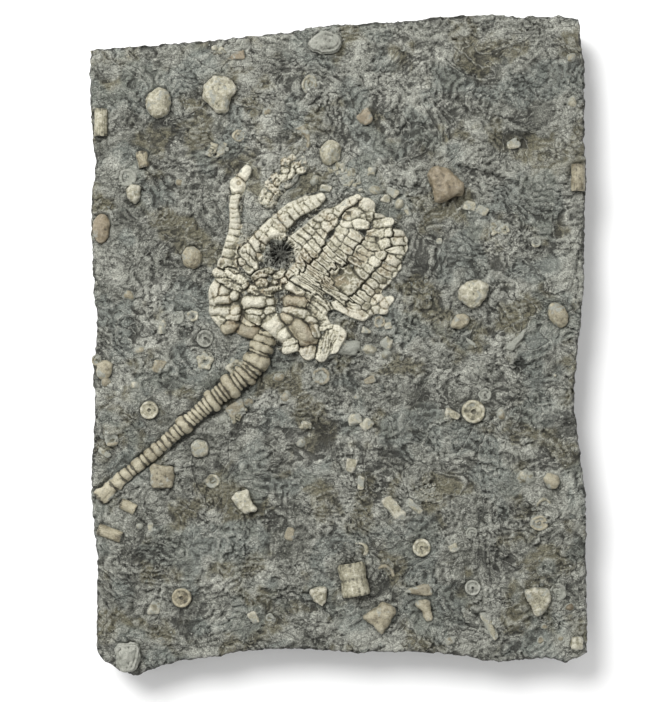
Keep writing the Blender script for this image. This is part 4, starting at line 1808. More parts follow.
        (0.5, 3.9, 3.7, 1.8, -45, 0.1, 0.3), (-3.4, 4.7, 3.7, 1, 15, 0, 0.6),
    )),
}


# ---------------------------------------------------------------- weathered plates and blocks

def remeshed(shape: Shape, voxel: float) -> Shape:
    """A shape made again of even faces about a voxel across, in millimetres."""
    mesh = bpy.data.meshes.new("rough_cut")
    mesh.from_pydata(shape.corners.tolist(), [], shape.faces)
    cut = bpy.data.objects.new("rough_cut", mesh)
    bpy.context.scene.collection.objects.link(cut)
    even = cut.modifiers.new("even_faces", "REMESH")
    even.mode = "VOXEL"
    even.voxel_size = voxel
    bpy.context.view_layer.update()
    made = bpy.data.meshes.new_from_object(cut.evaluated_get(bpy.context.evaluated_depsgraph_get()))
    corners = np.zeros(len(made.vertices) * 3)
    made.vertices.foreach_get("co", corners)
    faces = [tuple(polygon.vertices) for polygon in made.polygons]
    bpy.data.objects.remove(cut)
    bpy.data.meshes.remove(mesh)
    bpy.data.meshes.remove(made)
    return Shape(corners.reshape(-1, 3), faces)


@dataclass
class Weathered:
    """A plate or block worn round from its CAD solid."""

    node: str
    slot: str
    voxel: float = 0.3
    rounds: int = 3
    swell: float = 0.25
    bumps: float = 0.16
    coarse: float = 0.3
    pores: float = 0.0
    bands: float = 0.0
    shade: float = 0.0
    sink: float = 1.6

    def build(self, rock: Surface) -> Shape:
        """Shapes the worn solid.

        Args:
            rock: the bedding surface that it stands in.

        Returns:
            The closed mesh, with its marks.
        """
        shape = remeshed(node_shape(self.node), self.voxel)
        shape.corners = shape.eased(self.rounds)
        noise = Noise(name_seed(self.node))
        out = shape.normals()
        push = self.swell + 1.3 * self.coarse * noise.fractal(shape.corners, 3.2, 3)
        push += self.bumps * noise.fractal(shape.corners + 33.0, 1.2, 3, 0.6)
        if self.pores:
            push -= self.pores * smoothstep(noise.plain(shape.corners + 90.0, 0.8), 0.3, 0.6)
        if self.bands:
            rise = shape.corners[:, 2] + 0.4 * noise.plain(shape.corners, 4.0)
            push += self.bands * np.sin(rise * math.tau / 0.55)
        shape.corners += push[:, None] * out
        ground = rock.heights(shape.corners[:, :2])
        above = shape.corners[:, 2] - np.where(np.isnan(ground), shape.corners[:, 2], ground)
        shape.mark_relief(0.15, 7)
        shape.mark("root", 0.9 - 0.75 * smoothstep(above, 0.1, 1.3))
        shape.mark("shade", self.shade + 0.3 * noise.plain(shape.corners, 5.0))
        shape.corners[:, 2] -= self.sink * (1 - smoothstep(above, 0.3, 1.2))
        shape.corners[:, 2] = np.maximum(shape.corners[:, 2], 1.0)
        return shape


WEATHERED = (
    Weathered("ossicle_notched", "cream", voxel=0.34, coarse=0.3, bands=0.04),
    Weathered("ossicle_wedge_left", "cream", shade=-0.3),
    Weathered("ossicle_square", "tan", shade=-0.35),
    Weathered("ossicle_star", "cream", bumps=0.16, coarse=0.3, shade=0.45),
    Weathered("ossicle_triangle", "cream", pores=0.1),
    Weathered("ossicle_rhomb", "tan", voxel=0.34, coarse=0.3, bumps=0.14),
    Weathered("ossicle_hook", "tan", shade=0.2),
    Weathered("ossicle_speckled", "cream", voxel=0.32, pores=0.2, bumps=0.14),
    Weathered("ossicle_corner", "cream"),
    Weathered("ossicle_round_right", "tan", shade=0.4, rounds=10),
    Weathered("ossicle_blocky", "cream", voxel=0.34, coarse=0.3, shade=0.1),
    Weathered("ossicle_ledge_chip", "tan", shade=0.2),
    Weathered("ossicle_brown_block", "brown", voxel=0.34, coarse=0.35, bumps=0.14, shade=0.35),
    Weathered("shell_upper_edge", "grey", voxel=0.24, bands=0.2, shade=0.35, rounds=4, coarse=0.45),
    Weathered("shell_ribbed_corner", "grey", voxel=0.24, bands=0.24, shade=1.0, rounds=4, coarse=0.45),
    Weathered("ossicle_knob_upper_left", "cream", rounds=12, coarse=0.25),
    Weathered("ossicle_almond_left_edge", "brown", rounds=12, shade=0.3),
    Weathered("ossicle_cone_left", "tan", rounds=12, bands=0.05),
    Weathered("ossicle_knob_left_edge", "tan", rounds=12, coarse=0.3),
    Weathered("ossicle_flat_round", "cream", rounds=12, shade=-0.2, bumps=0.05),
    Weathered("ossicle_lump_right", "tan", rounds=12, coarse=0.3, shade=0.1),
    Weathered("ossicle_knob_above_crown", "cream", rounds=8, coarse=0.35, bumps=0.16),
)


# ---------------------------------------------------------------- stem pieces that came loose

def coin(diameter: float, height: float, rim: float, lumen: float, teeth: int, sides: int = 60) -> Shape:
    """A stem disc that lies flat, its rim raised, its face ribbed and its lumen open.

    Args:
        diameter: across the disc.
        height: from its foot to its rim.
        rim: width of the raised rim.
        lumen: diameter of the hole.
        teeth: ribs round the face.
        sides: corners round the disc.

    Returns:
        The closed mesh, its foot at z = 0.
    """
    outer, hole = diameter / 2, max(lumen / 2, 0.12)
    floor = 0.16 * rim / 0.6
    profile = (
        (outer * 0.98, 0.0), (outer * 1.0, height * 0.5), (outer * 0.99, height * 0.8),
        (outer * 0.95, height * 0.95), (outer - 0.5 * rim, height), (outer - rim, height - 0.3 * floor),
        (outer - rim * 1.25, height - 1.6 * floor), ((outer + hole) / 2, height - 1.9 * floor),
        (hole * 2.0, height - 1.5 * floor), (hole * 1.5, height - 0.8 * floor),
        (hole * 1.15, height - 0.9 * floor), (hole * 0.9, height - 2.6 * floor),
        (hole * 0.55, height - 3.6 * floor),
    )

    def ripple(radius: float, angle: np.ndarray) -> np.ndarray:
        """Ribs between the rim and the lumen."""
        share = smoothstep(np.array([radius]), hole * 1.7, hole * 2.6)[0]
        return 0.05 * share * np.cos(teeth * angle)

    shape = turned(profile, sides, ripple)
    distance = np.hypot(shape.corners[:, 0], shape.corners[:, 1])
    dip = smoothstep(shape.corners[:, 2], height - 2.2 * floor, height)
    relief = np.where(distance > outer - rim * 1.1, 0.4 * dip, 0.5 * dip - 0.35)
    relief = np.where(distance < hole * 1.2, -0.7, relief)
    return shape.mark("relief", np.clip(relief, -1, 1))


def cask(length: float, diameter: float, waist: float, grooves: int, sides: int = 56) -> Shape:
    """A stem piece that lies along +Z, its ends flared and its side scored by its joints."""
    radius, profile, relief = diameter / 2, [], []
    for share in np.linspace(0, 1, 12 + 9 * grooves):
        pinch = 1 - waist * math.sin(math.pi * share)
        score = 0.06 * abs(math.cos(math.pi * grooves * share)) ** 14 if grooves else 0.0
        profile.append((radius * (pinch - score), (share - 0.5) * length))
        relief.append(0.2 - 9 * score)
    lip = 0.16 * radius
    for end, sign in ((0, -1), (-1, 1)):
        height = profile[end][1]
        rise = sign * lip
        cap = [
            (radius * 0.96 - lip * 0.3, height + rise * 0.25), (radius * 0.72, height + rise * 0.1),
            (radius * 0.3, height - rise * 0.3), (radius * 0.12, height - rise),
        ]
        if sign > 0:
            profile, relief = profile + cap, relief + [0.4, 0.1, -0.3, -1]
        else:
            profile, relief = cap[::-1] + profile, [-1, -0.3, 0.1, 0.4] + relief
    shape = turned(profile, sides)
    angle = np.arctan2(shape.corners[:, 1], shape.corners[:, 0])
    out = np.hypot(shape.corners[:, 0], shape.corners[:, 1])
    ribs = np.cos(19 * angle + 1.5 * np.cos(3 * angle)) * smoothstep(out, 0.5 * radius, radius)
    shape.corners[:, :2] *= 1 + 0.009 * ribs[:, None]
    marks = np.append(np.repeat(relief, sides), [-1, -1]) + 0.25 * ribs
    return shape.mark("relief", marks)


@dataclass
class StemPieces:
    """The casks and discs that stand for the CAD's barrels and discs."""

    slots: dict = field(default_factory=lambda: {
        "stem_piece_left_edge": ("cream", -0.1), "stem_piece_small_left": ("tan", 0.0),
        "stem_piece_lower_left": ("tan", 0.2), "stem_piece_spindle": ("tan", -0.1),
        "stem_piece_large": ("cream", -0.15), "stem_piece_right_edge": ("tan", -0.3),
        "stem_disc_large": ("cream", 0.0), "stem_disc_left": ("cream", -0.1),
        "stem_disc_lower_middle": ("cream", 0.0), "stem_disc_lower_right": ("grey", 0.5),
        "stem_disc_cupped": ("tan", 0.0), "stem_disc_grey": ("grey", -0.1),
    })
    roughness: float = 0.09

    def build(self, rock: Surface, workshop: Workshop) -> None:
        """Shapes and dresses every cask and disc.

        Args:
            rock: the bedding surface.
            workshop: makes the pieces.
        """
        for name, (slot, shade) in self.slots.items():
            low, high = (np.array(corner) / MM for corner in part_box(name))
            shape = self._disc(low, high) if name.startswith("stem_disc") else self._cask(name, high)
            shape.mark("shade", shade)
            shape = weathered_by_noise(shape, name_seed(name), self.roughness)
            workshop.piece(f"{name}_detail", shape.mark_root(rock, 0.7), slot, [name])

    @staticmethod
    def _disc(low: np.ndarray, high: np.ndarray) -> Shape:
        """A disc fitted to the box of its CAD solid."""
        diameter = float(min(high[:2] - low[:2]))
        height = float(high[2] - low[2]) + 1.4
        shape = coin(diameter, height, 0.13 * diameter, 0.17 * diameter, 26)
        middle = (low + high) / 2
        return shape.moved(turn_about_z(17), (middle[0], middle[1], high[2] - height))

    @staticmethod
    def _cask(name: str, high: np.ndarray) -> Shape:
        """A cask fitted along its CAD solid."""
        corners = node_shape(name).corners
        centre = (corners[:, :2].min(axis=0) + corners[:, :2].max(axis=0)) / 2
        axis = np.linalg.svd(corners[:, :2] - corners[:, :2].mean(axis=0), full_matrices=False)[2][0]
        along = (corners[:, :2] - centre) @ axis
        over = (corners[:, :2] - centre) @ np.array([-axis[1], axis[0]])
        length, diameter = float(np.ptp(along)), float(np.ptp(over))
        shape = cask(length * 0.94, diameter, 0.09, 1 if length < 8 else 2)
        heading = math.degrees(math.atan2(axis[1], axis[0]))
        return shape.moved(lying(heading, 2.0), (*centre, float(high[2]) - diameter / 2))


def weathered_by_noise(shape: Shape, seed: int, amount: float) -> Shape:
    """Roughens a shape and adds its bumps to its relief mark."""
    noise = Noise(seed)
    bumps = noise.fractal(shape.corners, 1.5, 3, 0.6)
    chips = smoothstep(noise.plain(shape.corners + 50.0, 1.9), 0.42, 0.7)
    shape.corners += (amount * bumps - 2.2 * amount * chips)[:, None] * shape.normals()
    relief = shape.marks.get("relief", np.zeros(len(shape.corners)))
    shape.marks["relief"] = np.clip(relief + 0.7 * bumps - 0.4 * chips, -1, 1)
    return shape


# ---------------------------------------------------------------- small loose ossicles

class Kind(Enum):
    """Kinds of small fossil on the bedding surface."""

    DOME = "dome"
    BLOCK = "block"
    WEDGE = "wedge"
    DISC = "disc"
    RING = "ring"
    STAR = "star"
    CASK = "cask"
    ARC = "arc"
    PLATELETS = "platelets"
    LACE = "lace"
    FAN = "fan"


BEAD = ((0.40, -0.6), (0.46, 0.0), (0.44, 0.2), (0.36, 0.28), (0.26, 0.2), (0.2, -0.3))


@dataclass(frozen=True)
class Loose:
    """A small fossil: its kind, finish, place, length, width and heading in degrees."""

    kind: Kind
    slot: str
    x: float
    y: float
    length: float
    width: float
    heading: float
    proud: float
    shade: float = 0.0

    def build(self, rock: Surface, seed: int) -> Shape:
        """Shapes the fossil and sets it in the rock.

        Args:
            rock: the bedding surface.
            seed: fixes its wear.

        Returns:
            The closed mesh, with its marks.
        """
        shape = getattr(self, f"_{self.kind.value}")(np.random.default_rng(seed))
        around = itertools.product((-0.7, 0, 0.7), repeat=2)
        ground = rock.heights(np.array([[self.x + dx, self.y + dy] for dx, dy in around]))
        level = float(np.nanmean(ground))
        shape = shape.moved(turn_about_z(self.heading), (self.x, self.y, level))
        shape.mark("shade", self.shade - 0.12 + np.random.default_rng(seed).normal(0, 0.2))
        bend = Noise(seed + 7)
        drift = [bend.fractal(shape.corners[:, :2] + shift, 2.6, 2) for shift in (0.0, 90.0)]
        bend_amount = (0.035 if self._flat else 0.1) * self._breadth
        shape.corners[:, :2] += bend_amount * np.column_stack(drift)
        shape = weathered_by_noise(shape, seed, 0.09 + 0.03 * self._breadth)
        above = smoothstep(shape.corners[:, 2] - level, -0.1, 0.35 + 0.4 * self.proud)
        return shape.mark("root", 0.9 - 0.68 * above)

    @property
    def _flat(self) -> bool:
        """Whether it is a disc that lies flat."""
        return self.kind in (Kind.DISC, Kind.RING, Kind.STAR)

    @property
    def _breadth(self) -> float:
        """The smaller of its length and its width."""
        return min(self.length, self.width)

    @property
    def _rise(self) -> float:
        """Height of its top above the rock."""
        return self.proud * self._breadth * (0.34 if self._flat else 0.62)

    def _dome(self, draw: np.random.Generator) -> Shape:
        """A rounded lump."""
        shape = lump(3 if self.length < 5 else 4)
        shape.corners *= np.array([self.length / 2, self.width / 2, self._rise * 1.6])
        shape.corners[:, 2] -= self._rise * 0.6
        return shape.mark("relief", 0.15)

    def _block(self, draw: np.random.Generator, taper: float = 0.0) -> Shape:
        """A worn block with flat faces."""
        shape = lump(4)
        squared = np.sign(shape.corners) * np.abs(shape.corners) ** 0.42
        squared /= np.max(np.abs(squared))
        slope = draw.uniform(-0.16, 0.16, 3)
        squared[:, 0] *= 1 + slope[0] * squared[:, 1]
        squared[:, 1] *= 1 + slope[1] * squared[:, 0] - taper * (squared[:, 0] + 1) / 2
        squared[:, 2] += 0.22 * slope[2] * squared[:, 0] + 0.1 * squared[:, 1]
        shape.corners = squared * np.array([self.length / 2, self.width / 2, self._rise * 1.3])
        shape.corners[:, 2] -= self._rise * 0.4
        return shape.mark_relief(0.06, 5)

    def _wedge(self, draw: np.random.Generator) -> Shape:
        """A block that narrows towards its heading."""
        return self._block(draw, 0.75)

    def _coin(self, rim: float, lumen: float, teeth: int, sides: int = 44) -> Shape:
        """A disc whose foot is 1 mm deep in the rock, its rim and lumen shares of its width."""
        height = self._rise + 1.0
        shape = coin(self.width, height, rim * self.width, lumen * self.width, teeth, sides)
        shape.corners[:, 2] -= 1.0
        return shape

    def _disc(self, draw: np.random.Generator) -> Shape:
        """A flat stem disc."""
        shape = self._coin(0.15, 0.2, 22)
        shape.corners *= np.array([self.length / self.width, 1, 1])
        return shape

    def _ring(self, draw: np.random.Generator) -> Shape:
        """A stem disc with a wide lumen."""
        return self._coin(0.2, 0.42, 14)

    def _star(self, draw: np.random.Generator) -> Shape:
        """A stem disc with five lobes."""
        shape = self._coin(0.26, 0.24, 5, 60)
        angle = np.arctan2(shape.corners[:, 1], shape.corners[:, 0])
        shape.corners[:, :2] *= (1 + 0.13 * np.cos(5 * angle))[:, None]
        return shape

    def _cask(self, draw: np.random.Generator) -> Shape:
        """A stem piece on its side."""
        shape = cask(self.length, self.width, 0.08, max(1, round(self.length / 2.2)), 36)
        return shape.moved(lying(0.0), (0, 0, self._rise - self.width / 2))

    def _arc(self, draw: np.random.Generator) -> Shape:
        """A shell's curved edge."""
        count, sides = 30, 14
        turns = np.arange(sides) * math.tau / sides
        rings = np.zeros((count, sides, 3))
        for index, share in enumerate(np.linspace(0, 1, count)):
            angle = math.radians(-75 + 150 * share)
            thick = 0.16 * self.width * math.sin(math.pi * (0.08 + 0.84 * share)) ** 0.5
            out = self.length / 2 + thick * np.cos(turns)
            across = out * math.cos(angle) - self.length * 0.25
            height = thick * np.sin(turns) * 1.3 + 0.1
            rings[index] = np.column_stack([across, out * math.sin(angle), height])
        return tube(rings).mark("relief", 0.3)

    def _cluster(self, draw: np.random.Generator, count: int, size: Point) -> Shape:
        """Small blocks heaped over an oval."""
        parts = []
        for _ in range(count):
            angle, away = draw.uniform(0, math.tau), math.sqrt(draw.uniform(0, 1)) * 0.42
            grain = lump(2)
            squared = np.sign(grain.corners) * np.abs(grain.corners) ** 0.5
            scale = np.array([draw.uniform(*size), draw.uniform(*size) * 0.6, draw.uniform(*size) * 0.5])
            turn = turn_about_z(draw.uniform(0, 180)) @ lying(0, draw.uniform(60, 90))
            across, up = away * self.length * math.cos(angle), away * self.width * math.sin(angle)
            part = Shape(squared * scale, grain.faces).moved(turn, (across, up, draw.uniform(-0.1, 0.3)))
            parts.append(part.mark("relief", draw.uniform(-0.3, 0.5)))
        return joined(parts)

    def _platelets(self, draw: np.random.Generator) -> Shape:
        """A patch of small broken plates."""
        return self._cluster(draw, int(6 + 0.8 * self.length * self.width), (0.45, 1.1))

    def _lace(self, draw: np.random.Generator) -> Shape:
        """A scrap of a lacy colony: beads round open loops."""
        parts = []
        for row, column in itertools.product(range(4), range(5)):
            across = (column - 2 + 0.5 * (row % 2)) * self.length / 5
            place = (across, (row - 1.5) * self.width / 4.4, draw.uniform(0, 0.2))
            parts.append(turned(BEAD, 12).mark("relief", 0.3).moved(turn_about_z(0), place))
        return joined(parts)

    def _fan(self, draw: np.random.Generator) -> Shape:
        """A ribbed half round shell."""
        shape = lump(4)
        angle = np.arctan2(shape.corners[:, 1], shape.corners[:, 0] + 0.6)
        ribs = 1 + 0.05 * np.cos(18 * angle)
        shape.corners *= ribs[:, None]
        shape.corners *= np.array([self.length / 2, self.width / 2, self._rise * 1.4])
        shape.corners[:, 2] -= self._rise * 0.4
        return shape.mark("relief", 5 * (ribs - 1))


LOOSE = (
    Loose(Kind.BLOCK, "tan", -26.6, -16.2, 5.2, 3.4, 30, 0.6, -0.1),
    Loose(Kind.DOME, "tan", -23.6, -14.6, 3.2, 2.5, 0, 0.6),
    Loose(Kind.DOME, "grey", -30.0, -19.0, 3.4, 2.2, 40, 0.5),
    Loose(Kind.DISC, "grey", -54.8, 43.7, 4.7, 4.7, 0, 0.35, 0.1),
    Loose(Kind.DOME, "tan", -41.3, 42.4, 2.3, 2.3, 0, 0.7),
    Loose(Kind.DOME, "tan", -54.3, 13.0, 3.1, 3.1, 20, 0.6),
    Loose(Kind.DISC, "grey", -41.8, 7.3, 3.4, 3.4, 0, 0.3),
    Loose(Kind.RING, "cream", -37.9, 7.8, 3.1, 3.1, 0, 0.5, 0.2),
    Loose(Kind.CASK, "cream", -45.7, 4.9, 3.6, 2.6, 80, 0.6),
    Loose(Kind.DOME, "tan", -51.7, -1.0, 3.6, 2.3, 10, 0.6, 0.1),
    Loose(Kind.STAR, "cream", -34.8, -3.9, 4.4, 4.4, 10, 0.5, 0.3),
    Loose(Kind.STAR, "cream", -26.7, -5.5, 4.7, 4.7, 40, 0.5, 0.2),
    Loose(Kind.BLOCK, "tan", -46.5, -5.2, 3.4, 2.9, 70, 0.6, 0.2),
    Loose(Kind.DOME, "cream", -52.7, -10.1, 2.3, 2.9, 80, 0.7, -0.1),
    Loose(Kind.DOME, "tan", -60.3, -9.4, 3.1, 3.1, 0, 0.6, -0.2),
    Loose(Kind.DISC, "tan", -62.9, -3.6, 2.6, 3.1, 0, 0.5),
    Loose(Kind.RING, "tan", -59.0, -24.2, 3.9, 3.9, 0, 0.5),
    Loose(Kind.BLOCK, "cream", -60.8, -27.8, 3.6, 1.6, -35, 0.5, 0.1),
    Loose(Kind.PLATELETS, "cream", -27.0, -17.9, 6.8, 3.6, 35, 0.5, -0.1),
    Loose(Kind.RING, "cream", -32.7, -35.1, 3.4, 3.9, 0, 0.5, 0.3),
    Loose(Kind.DOME, "cream", -51.7, -46.8, 1.8, 2.3, 90, 0.6),
    Loose(Kind.BLOCK, "cream", -48.8, -47.1, 2.6, 1.6, 90, 0.5),
    Loose(Kind.BLOCK, "cream", -47.8, -67.9, 3.6, 3.1, 80, 0.6, -0.1),
    Loose(Kind.BLOCK, "cream", -22.0, -70.5, 3.6, 2.3, -55, 0.5, 0.1),
    Loose(Kind.RING, "grey", -17.9, -70.5, 2.3, 2.3, 0, 0.4, 0.2),
    Loose(Kind.WEDGE, "tan", 20.6, -63.4, 6.8, 3.6, 185, 0.5, 0.1),
    Loose(Kind.ARC, "tan", 12.5, -58.5, 4.2, 3.6, 60, 0.5),
    Loose(Kind.BLOCK, "tan", -12.7, -48.6, 3.6, 2.3, 80, 0.5, 0.1),
    Loose(Kind.ARC, "cream", 6.0, -52.5, 4.2, 3.6, 35, 0.5, 0.2),
    Loose(Kind.BLOCK, "cream", 14.4, -42.1, 7.3, 3.1, -48, 0.5, 0.1),
    Loose(Kind.BLOCK, "cream", 19.6, -41.6, 5.2, 2.1, -42, 0.5, 0.1),
    Loose(Kind.LACE, "cream", 22.2, -38.2, 5.5, 4.7, 10, 0.5, 0.2),
    Loose(Kind.BLOCK, "cream", 3.2, -30.9, 3.6, 2.6, 75, 0.6, -0.1),
    Loose(Kind.DOME, "cream", 0.6, -28.1, 1.0, 1.0, 0, 0.7, 0.2),
    Loose(Kind.BLOCK, "cream", 5.8, -35.6, 3.6, 1.8, 85, 0.5, 0.1),
    Loose(Kind.BLOCK, "cream", 4.2, -19.2, 3.6, 2.9, 15, 0.5, 0.3),
    Loose(Kind.BLOCK, "cream", 7.3, -20.3, 3.1, 2.6, 40, 0.5, 0.2),
    Loose(Kind.DOME, "tan", 4.7, -13.3, 2.1, 1.6, 0, 0.7),
    Loose(Kind.BLOCK, "tan", 8.1, -8.8, 3.1, 1.8, 20, 0.6, 0.1),
    Loose(Kind.DISC, "tan", -4.6, -7.8, 4.7, 4.7, 0, 0.35, -0.1),
    Loose(Kind.DOME, "tan", -15.5, -8.1, 3.1, 2.9, 0, 0.5),
    Loose(Kind.DOME, "tan", -13.7, -13.3, 3.4, 2.9, 40, 0.5),
    Loose(Kind.PLATELETS, "cream", -9.3, -20.5, 4.2, 3.1, 0, 0.5, -0.1),
    Loose(Kind.DOME, "cream", -9.6, -25.2, 2.6, 2.6, 0, 0.5, -0.2),
    Loose(Kind.BLOCK, "cream", 29.4, -17.7, 4.2, 2.1, -25, 0.5, 0.2),
    Loose(Kind.DISC, "grey", 38.0, -12.7, 3.6, 3.6, 0, 0.25, -0.1),
    Loose(Kind.DOME, "tan", 42.4, -17.7, 3.6, 2.6, 80, 0.5),
    Loose(Kind.BLOCK, "cream", 34.4, 0.8, 3.6, 1.0, -40, 0.6, 0.3),
    Loose(Kind.WEDGE, "grey", 46.3, 1.6, 7.3, 2.6, 48, 0.5, 0.4),
    Loose(Kind.DOME, "cream", 56.2, -7.5, 1.3, 1.3, 0, 0.7, 0.3),
    Loose(Kind.BLOCK, "cream", 33.9, 36.4, 3.6, 2.3, -15, 0.5, 0.2),
    Loose(Kind.BLOCK, "cream", 37.2, 35.1, 3.1, 2.3, -30, 0.5, 0.3),
    Loose(Kind.PLATELETS, "cream", 41.7, 30.7, 5.7, 4.2, 0, 0.5, 0.2),
    Loose(Kind.RING, "cream", 51.3, 26.8, 2.6, 2.6, 0, 0.5, 0.1),
    Loose(Kind.BLOCK, "cream", 26.1, 27.3, 1.8, 1.6, 0, 0.7, 0.3),
    Loose(Kind.DOME, "tan", 60.4, 74.9, 2.6, 2.6, 0, 0.6),
    Loose(Kind.DOME, "cream", 60.6, 63.2, 3.6, 2.9, 80, 0.6, -0.1),
    Loose(Kind.BLOCK, "cream", 45.3, 52.5, 3.6, 2.6, 20, 0.5),
    Loose(Kind.BLOCK, "brown", 6.8, 59.3, 3.9, 3.4, 30, 0.6, 0.1),
    Loose(Kind.DISC, "cream", -7.5, 67.9, 5.2, 3.9, 80, 0.45, -0.2),
    Loose(Kind.ARC, "tan", -9.3, 53.6, 6.2, 4.7, 20, 0.6, 0.1),
    Loose(Kind.PLATELETS, "cream", -31.7, 51.0, 5.7, 4.2, 20, 0.5, -0.1),
    Loose(Kind.DISC, "tan", -25.9, 54.6, 3.4, 3.4, 0, 0.4),
    Loose(Kind.DOME, "tan", -18.7, 60.6, 2.6, 2.6, 0, 0.5, -0.1),
    Loose(Kind.WEDGE, "brown", -26.5, 74.9, 4.7, 3.1, 200, 0.5, 0.2),
    Loose(Kind.PLATELETS, "cream", -31.1, 77.0, 3.6, 2.6, 0, 0.5, -0.2),
    Loose(Kind.FAN, "cream", 48.4, -34.1, 5.2, 3.9, 0, 0.5, 0.1),
    Loose(Kind.DISC, "tan", 52.1, -46.0, 4.7, 3.9, 0, 0.4, 0.3),
    Loose(Kind.ARC, "cream", 53.1, -40.8, 3.4, 3.1, 100, 0.5, 0.1),
    Loose(Kind.BLOCK, "cream", 29.7, -52.3, 2.6, 2.1, 20, 0.6, 0.1),
    Loose(Kind.DISC, "grey", 34.4, -48.4, 3.1, 3.1, 0, 0.3),
    Loose(Kind.DISC, "grey", 57.0, -64.0, 4.7, 4.7, 0, 0.35, 0.2),
    Loose(Kind.DOME, "brown", 60.1, -67.9, 2.9, 2.3, 0, 0.7),
    Loose(Kind.BLOCK, "cream", 39.1, -72.5, 7.8, 2.1, -62, 0.5),
    Loose(Kind.DOME, "tan", 57.5, -75.7, 2.3, 2.3, 0, 0.5),
    Loose(Kind.DOME, "tan", 52.6, -76.4, 2.3, 2.1, 0, 0.5),
    Loose(Kind.DOME, "tan", 53.6, -72.8, 2.3, 1.8, 0, 0.5),
    Loose(Kind.BLOCK, "tan", 28.9, -76.4, 2.6, 2.1, 20, 0.5),
    Loose(Kind.DOME, "cream", 9.7, 40.3, 4.4, 2.9, -5, 0.8, 0.1),
    Loose(Kind.BLOCK, "cream", 13.8, 39.8, 3.4, 2.3, -25, 0.7, 0.1),
    Loose(Kind.DOME, "cream", 15.7, 36.9, 2.9, 3.1, 0, 0.8, 0.3),
    Loose(Kind.BLOCK, "cream", 17.7, 35.1, 3.1, 1.6, -60, 0.7, 0.1),
    Loose(Kind.BLOCK, "cream", 12.3, 38.0, 2.3, 2.1, -30, 0.7, 0.1),
    Loose(Kind.DOME, "cream", 5.8, 40.3, 1.6, 1.6, 0, 0.9, 0.2),
    Loose(Kind.DOME, "cream", -6.2, 42.9, 3.1, 2.3, 70, 0.8, 0.2),
    Loose(Kind.BLOCK, "cream", -3.3, 40.8, 3.1, 1.8, -5, 0.7, 0.1),
    Loose(Kind.BLOCK, "cream", 8.6, 45.2, 2.6, 2.1, 80, 0.7, 0.1),
    Loose(Kind.RING, "tan", 10.5, 6.2, 3.1, 3.1, 0, 0.6, 0.1),
    Loose(Kind.BLOCK, "cream", 12.8, 5.2, 2.1, 1.8, 20, 0.6, 0.1),
    Loose(Kind.WEDGE, "cream", 7.3, 3.9, 2.6, 2.3, -20, 0.6, 0.1),
    Loose(Kind.WEDGE, "cream", 13.1, 11.7, 2.9, 2.3, 10, 0.6, 0.2),
    Loose(Kind.DOME, "cream", 8.1, -1.0, 4.4, 3.6, 0, 0.7, 0.1),
    Loose(Kind.DOME, "cream", 12.3, -2.1, 3.1, 2.9, 0, 0.8, 0.2),
    Loose(Kind.BLOCK, "cream", 12.5, 0.8, 3.4, 3.1, 60, 0.7),
    Loose(Kind.DOME, "grey", 2.4, -0.5, 6.8, 4.2, 10, 0.35, 0.1),
    Loose(Kind.BLOCK, "cream", 0.3, 2.6, 3.9, 1.6, -45, 0.6, 0.2),
    Loose(Kind.BLOCK, "cream", 1.1, 0.3, 4.4, 1.6, -40, 0.6, 0.2),
    Loose(Kind.PLATELETS, "cream", -0.2, 45.8, 5.7, 3.6, 0, 0.4),
    Loose(Kind.PLATELETS, "cream", 3.4, 43.2, 5.2, 4.2, 0, 0.4, 0.1),
)


# ---------------------------------------------------------------- rubble

def swung(first: np.ndarray, second: np.ndarray, angle: np.ndarray) -> tuple[np.ndarray, np.ndarray]:
    """Two coordinates of each row of corners, turned by the row's angle."""
    cosine, sine = np.cos(angle)[:, None], np.sin(angle)[:, None]
    return first * cosine - second * sine, first * sine + second * cosine


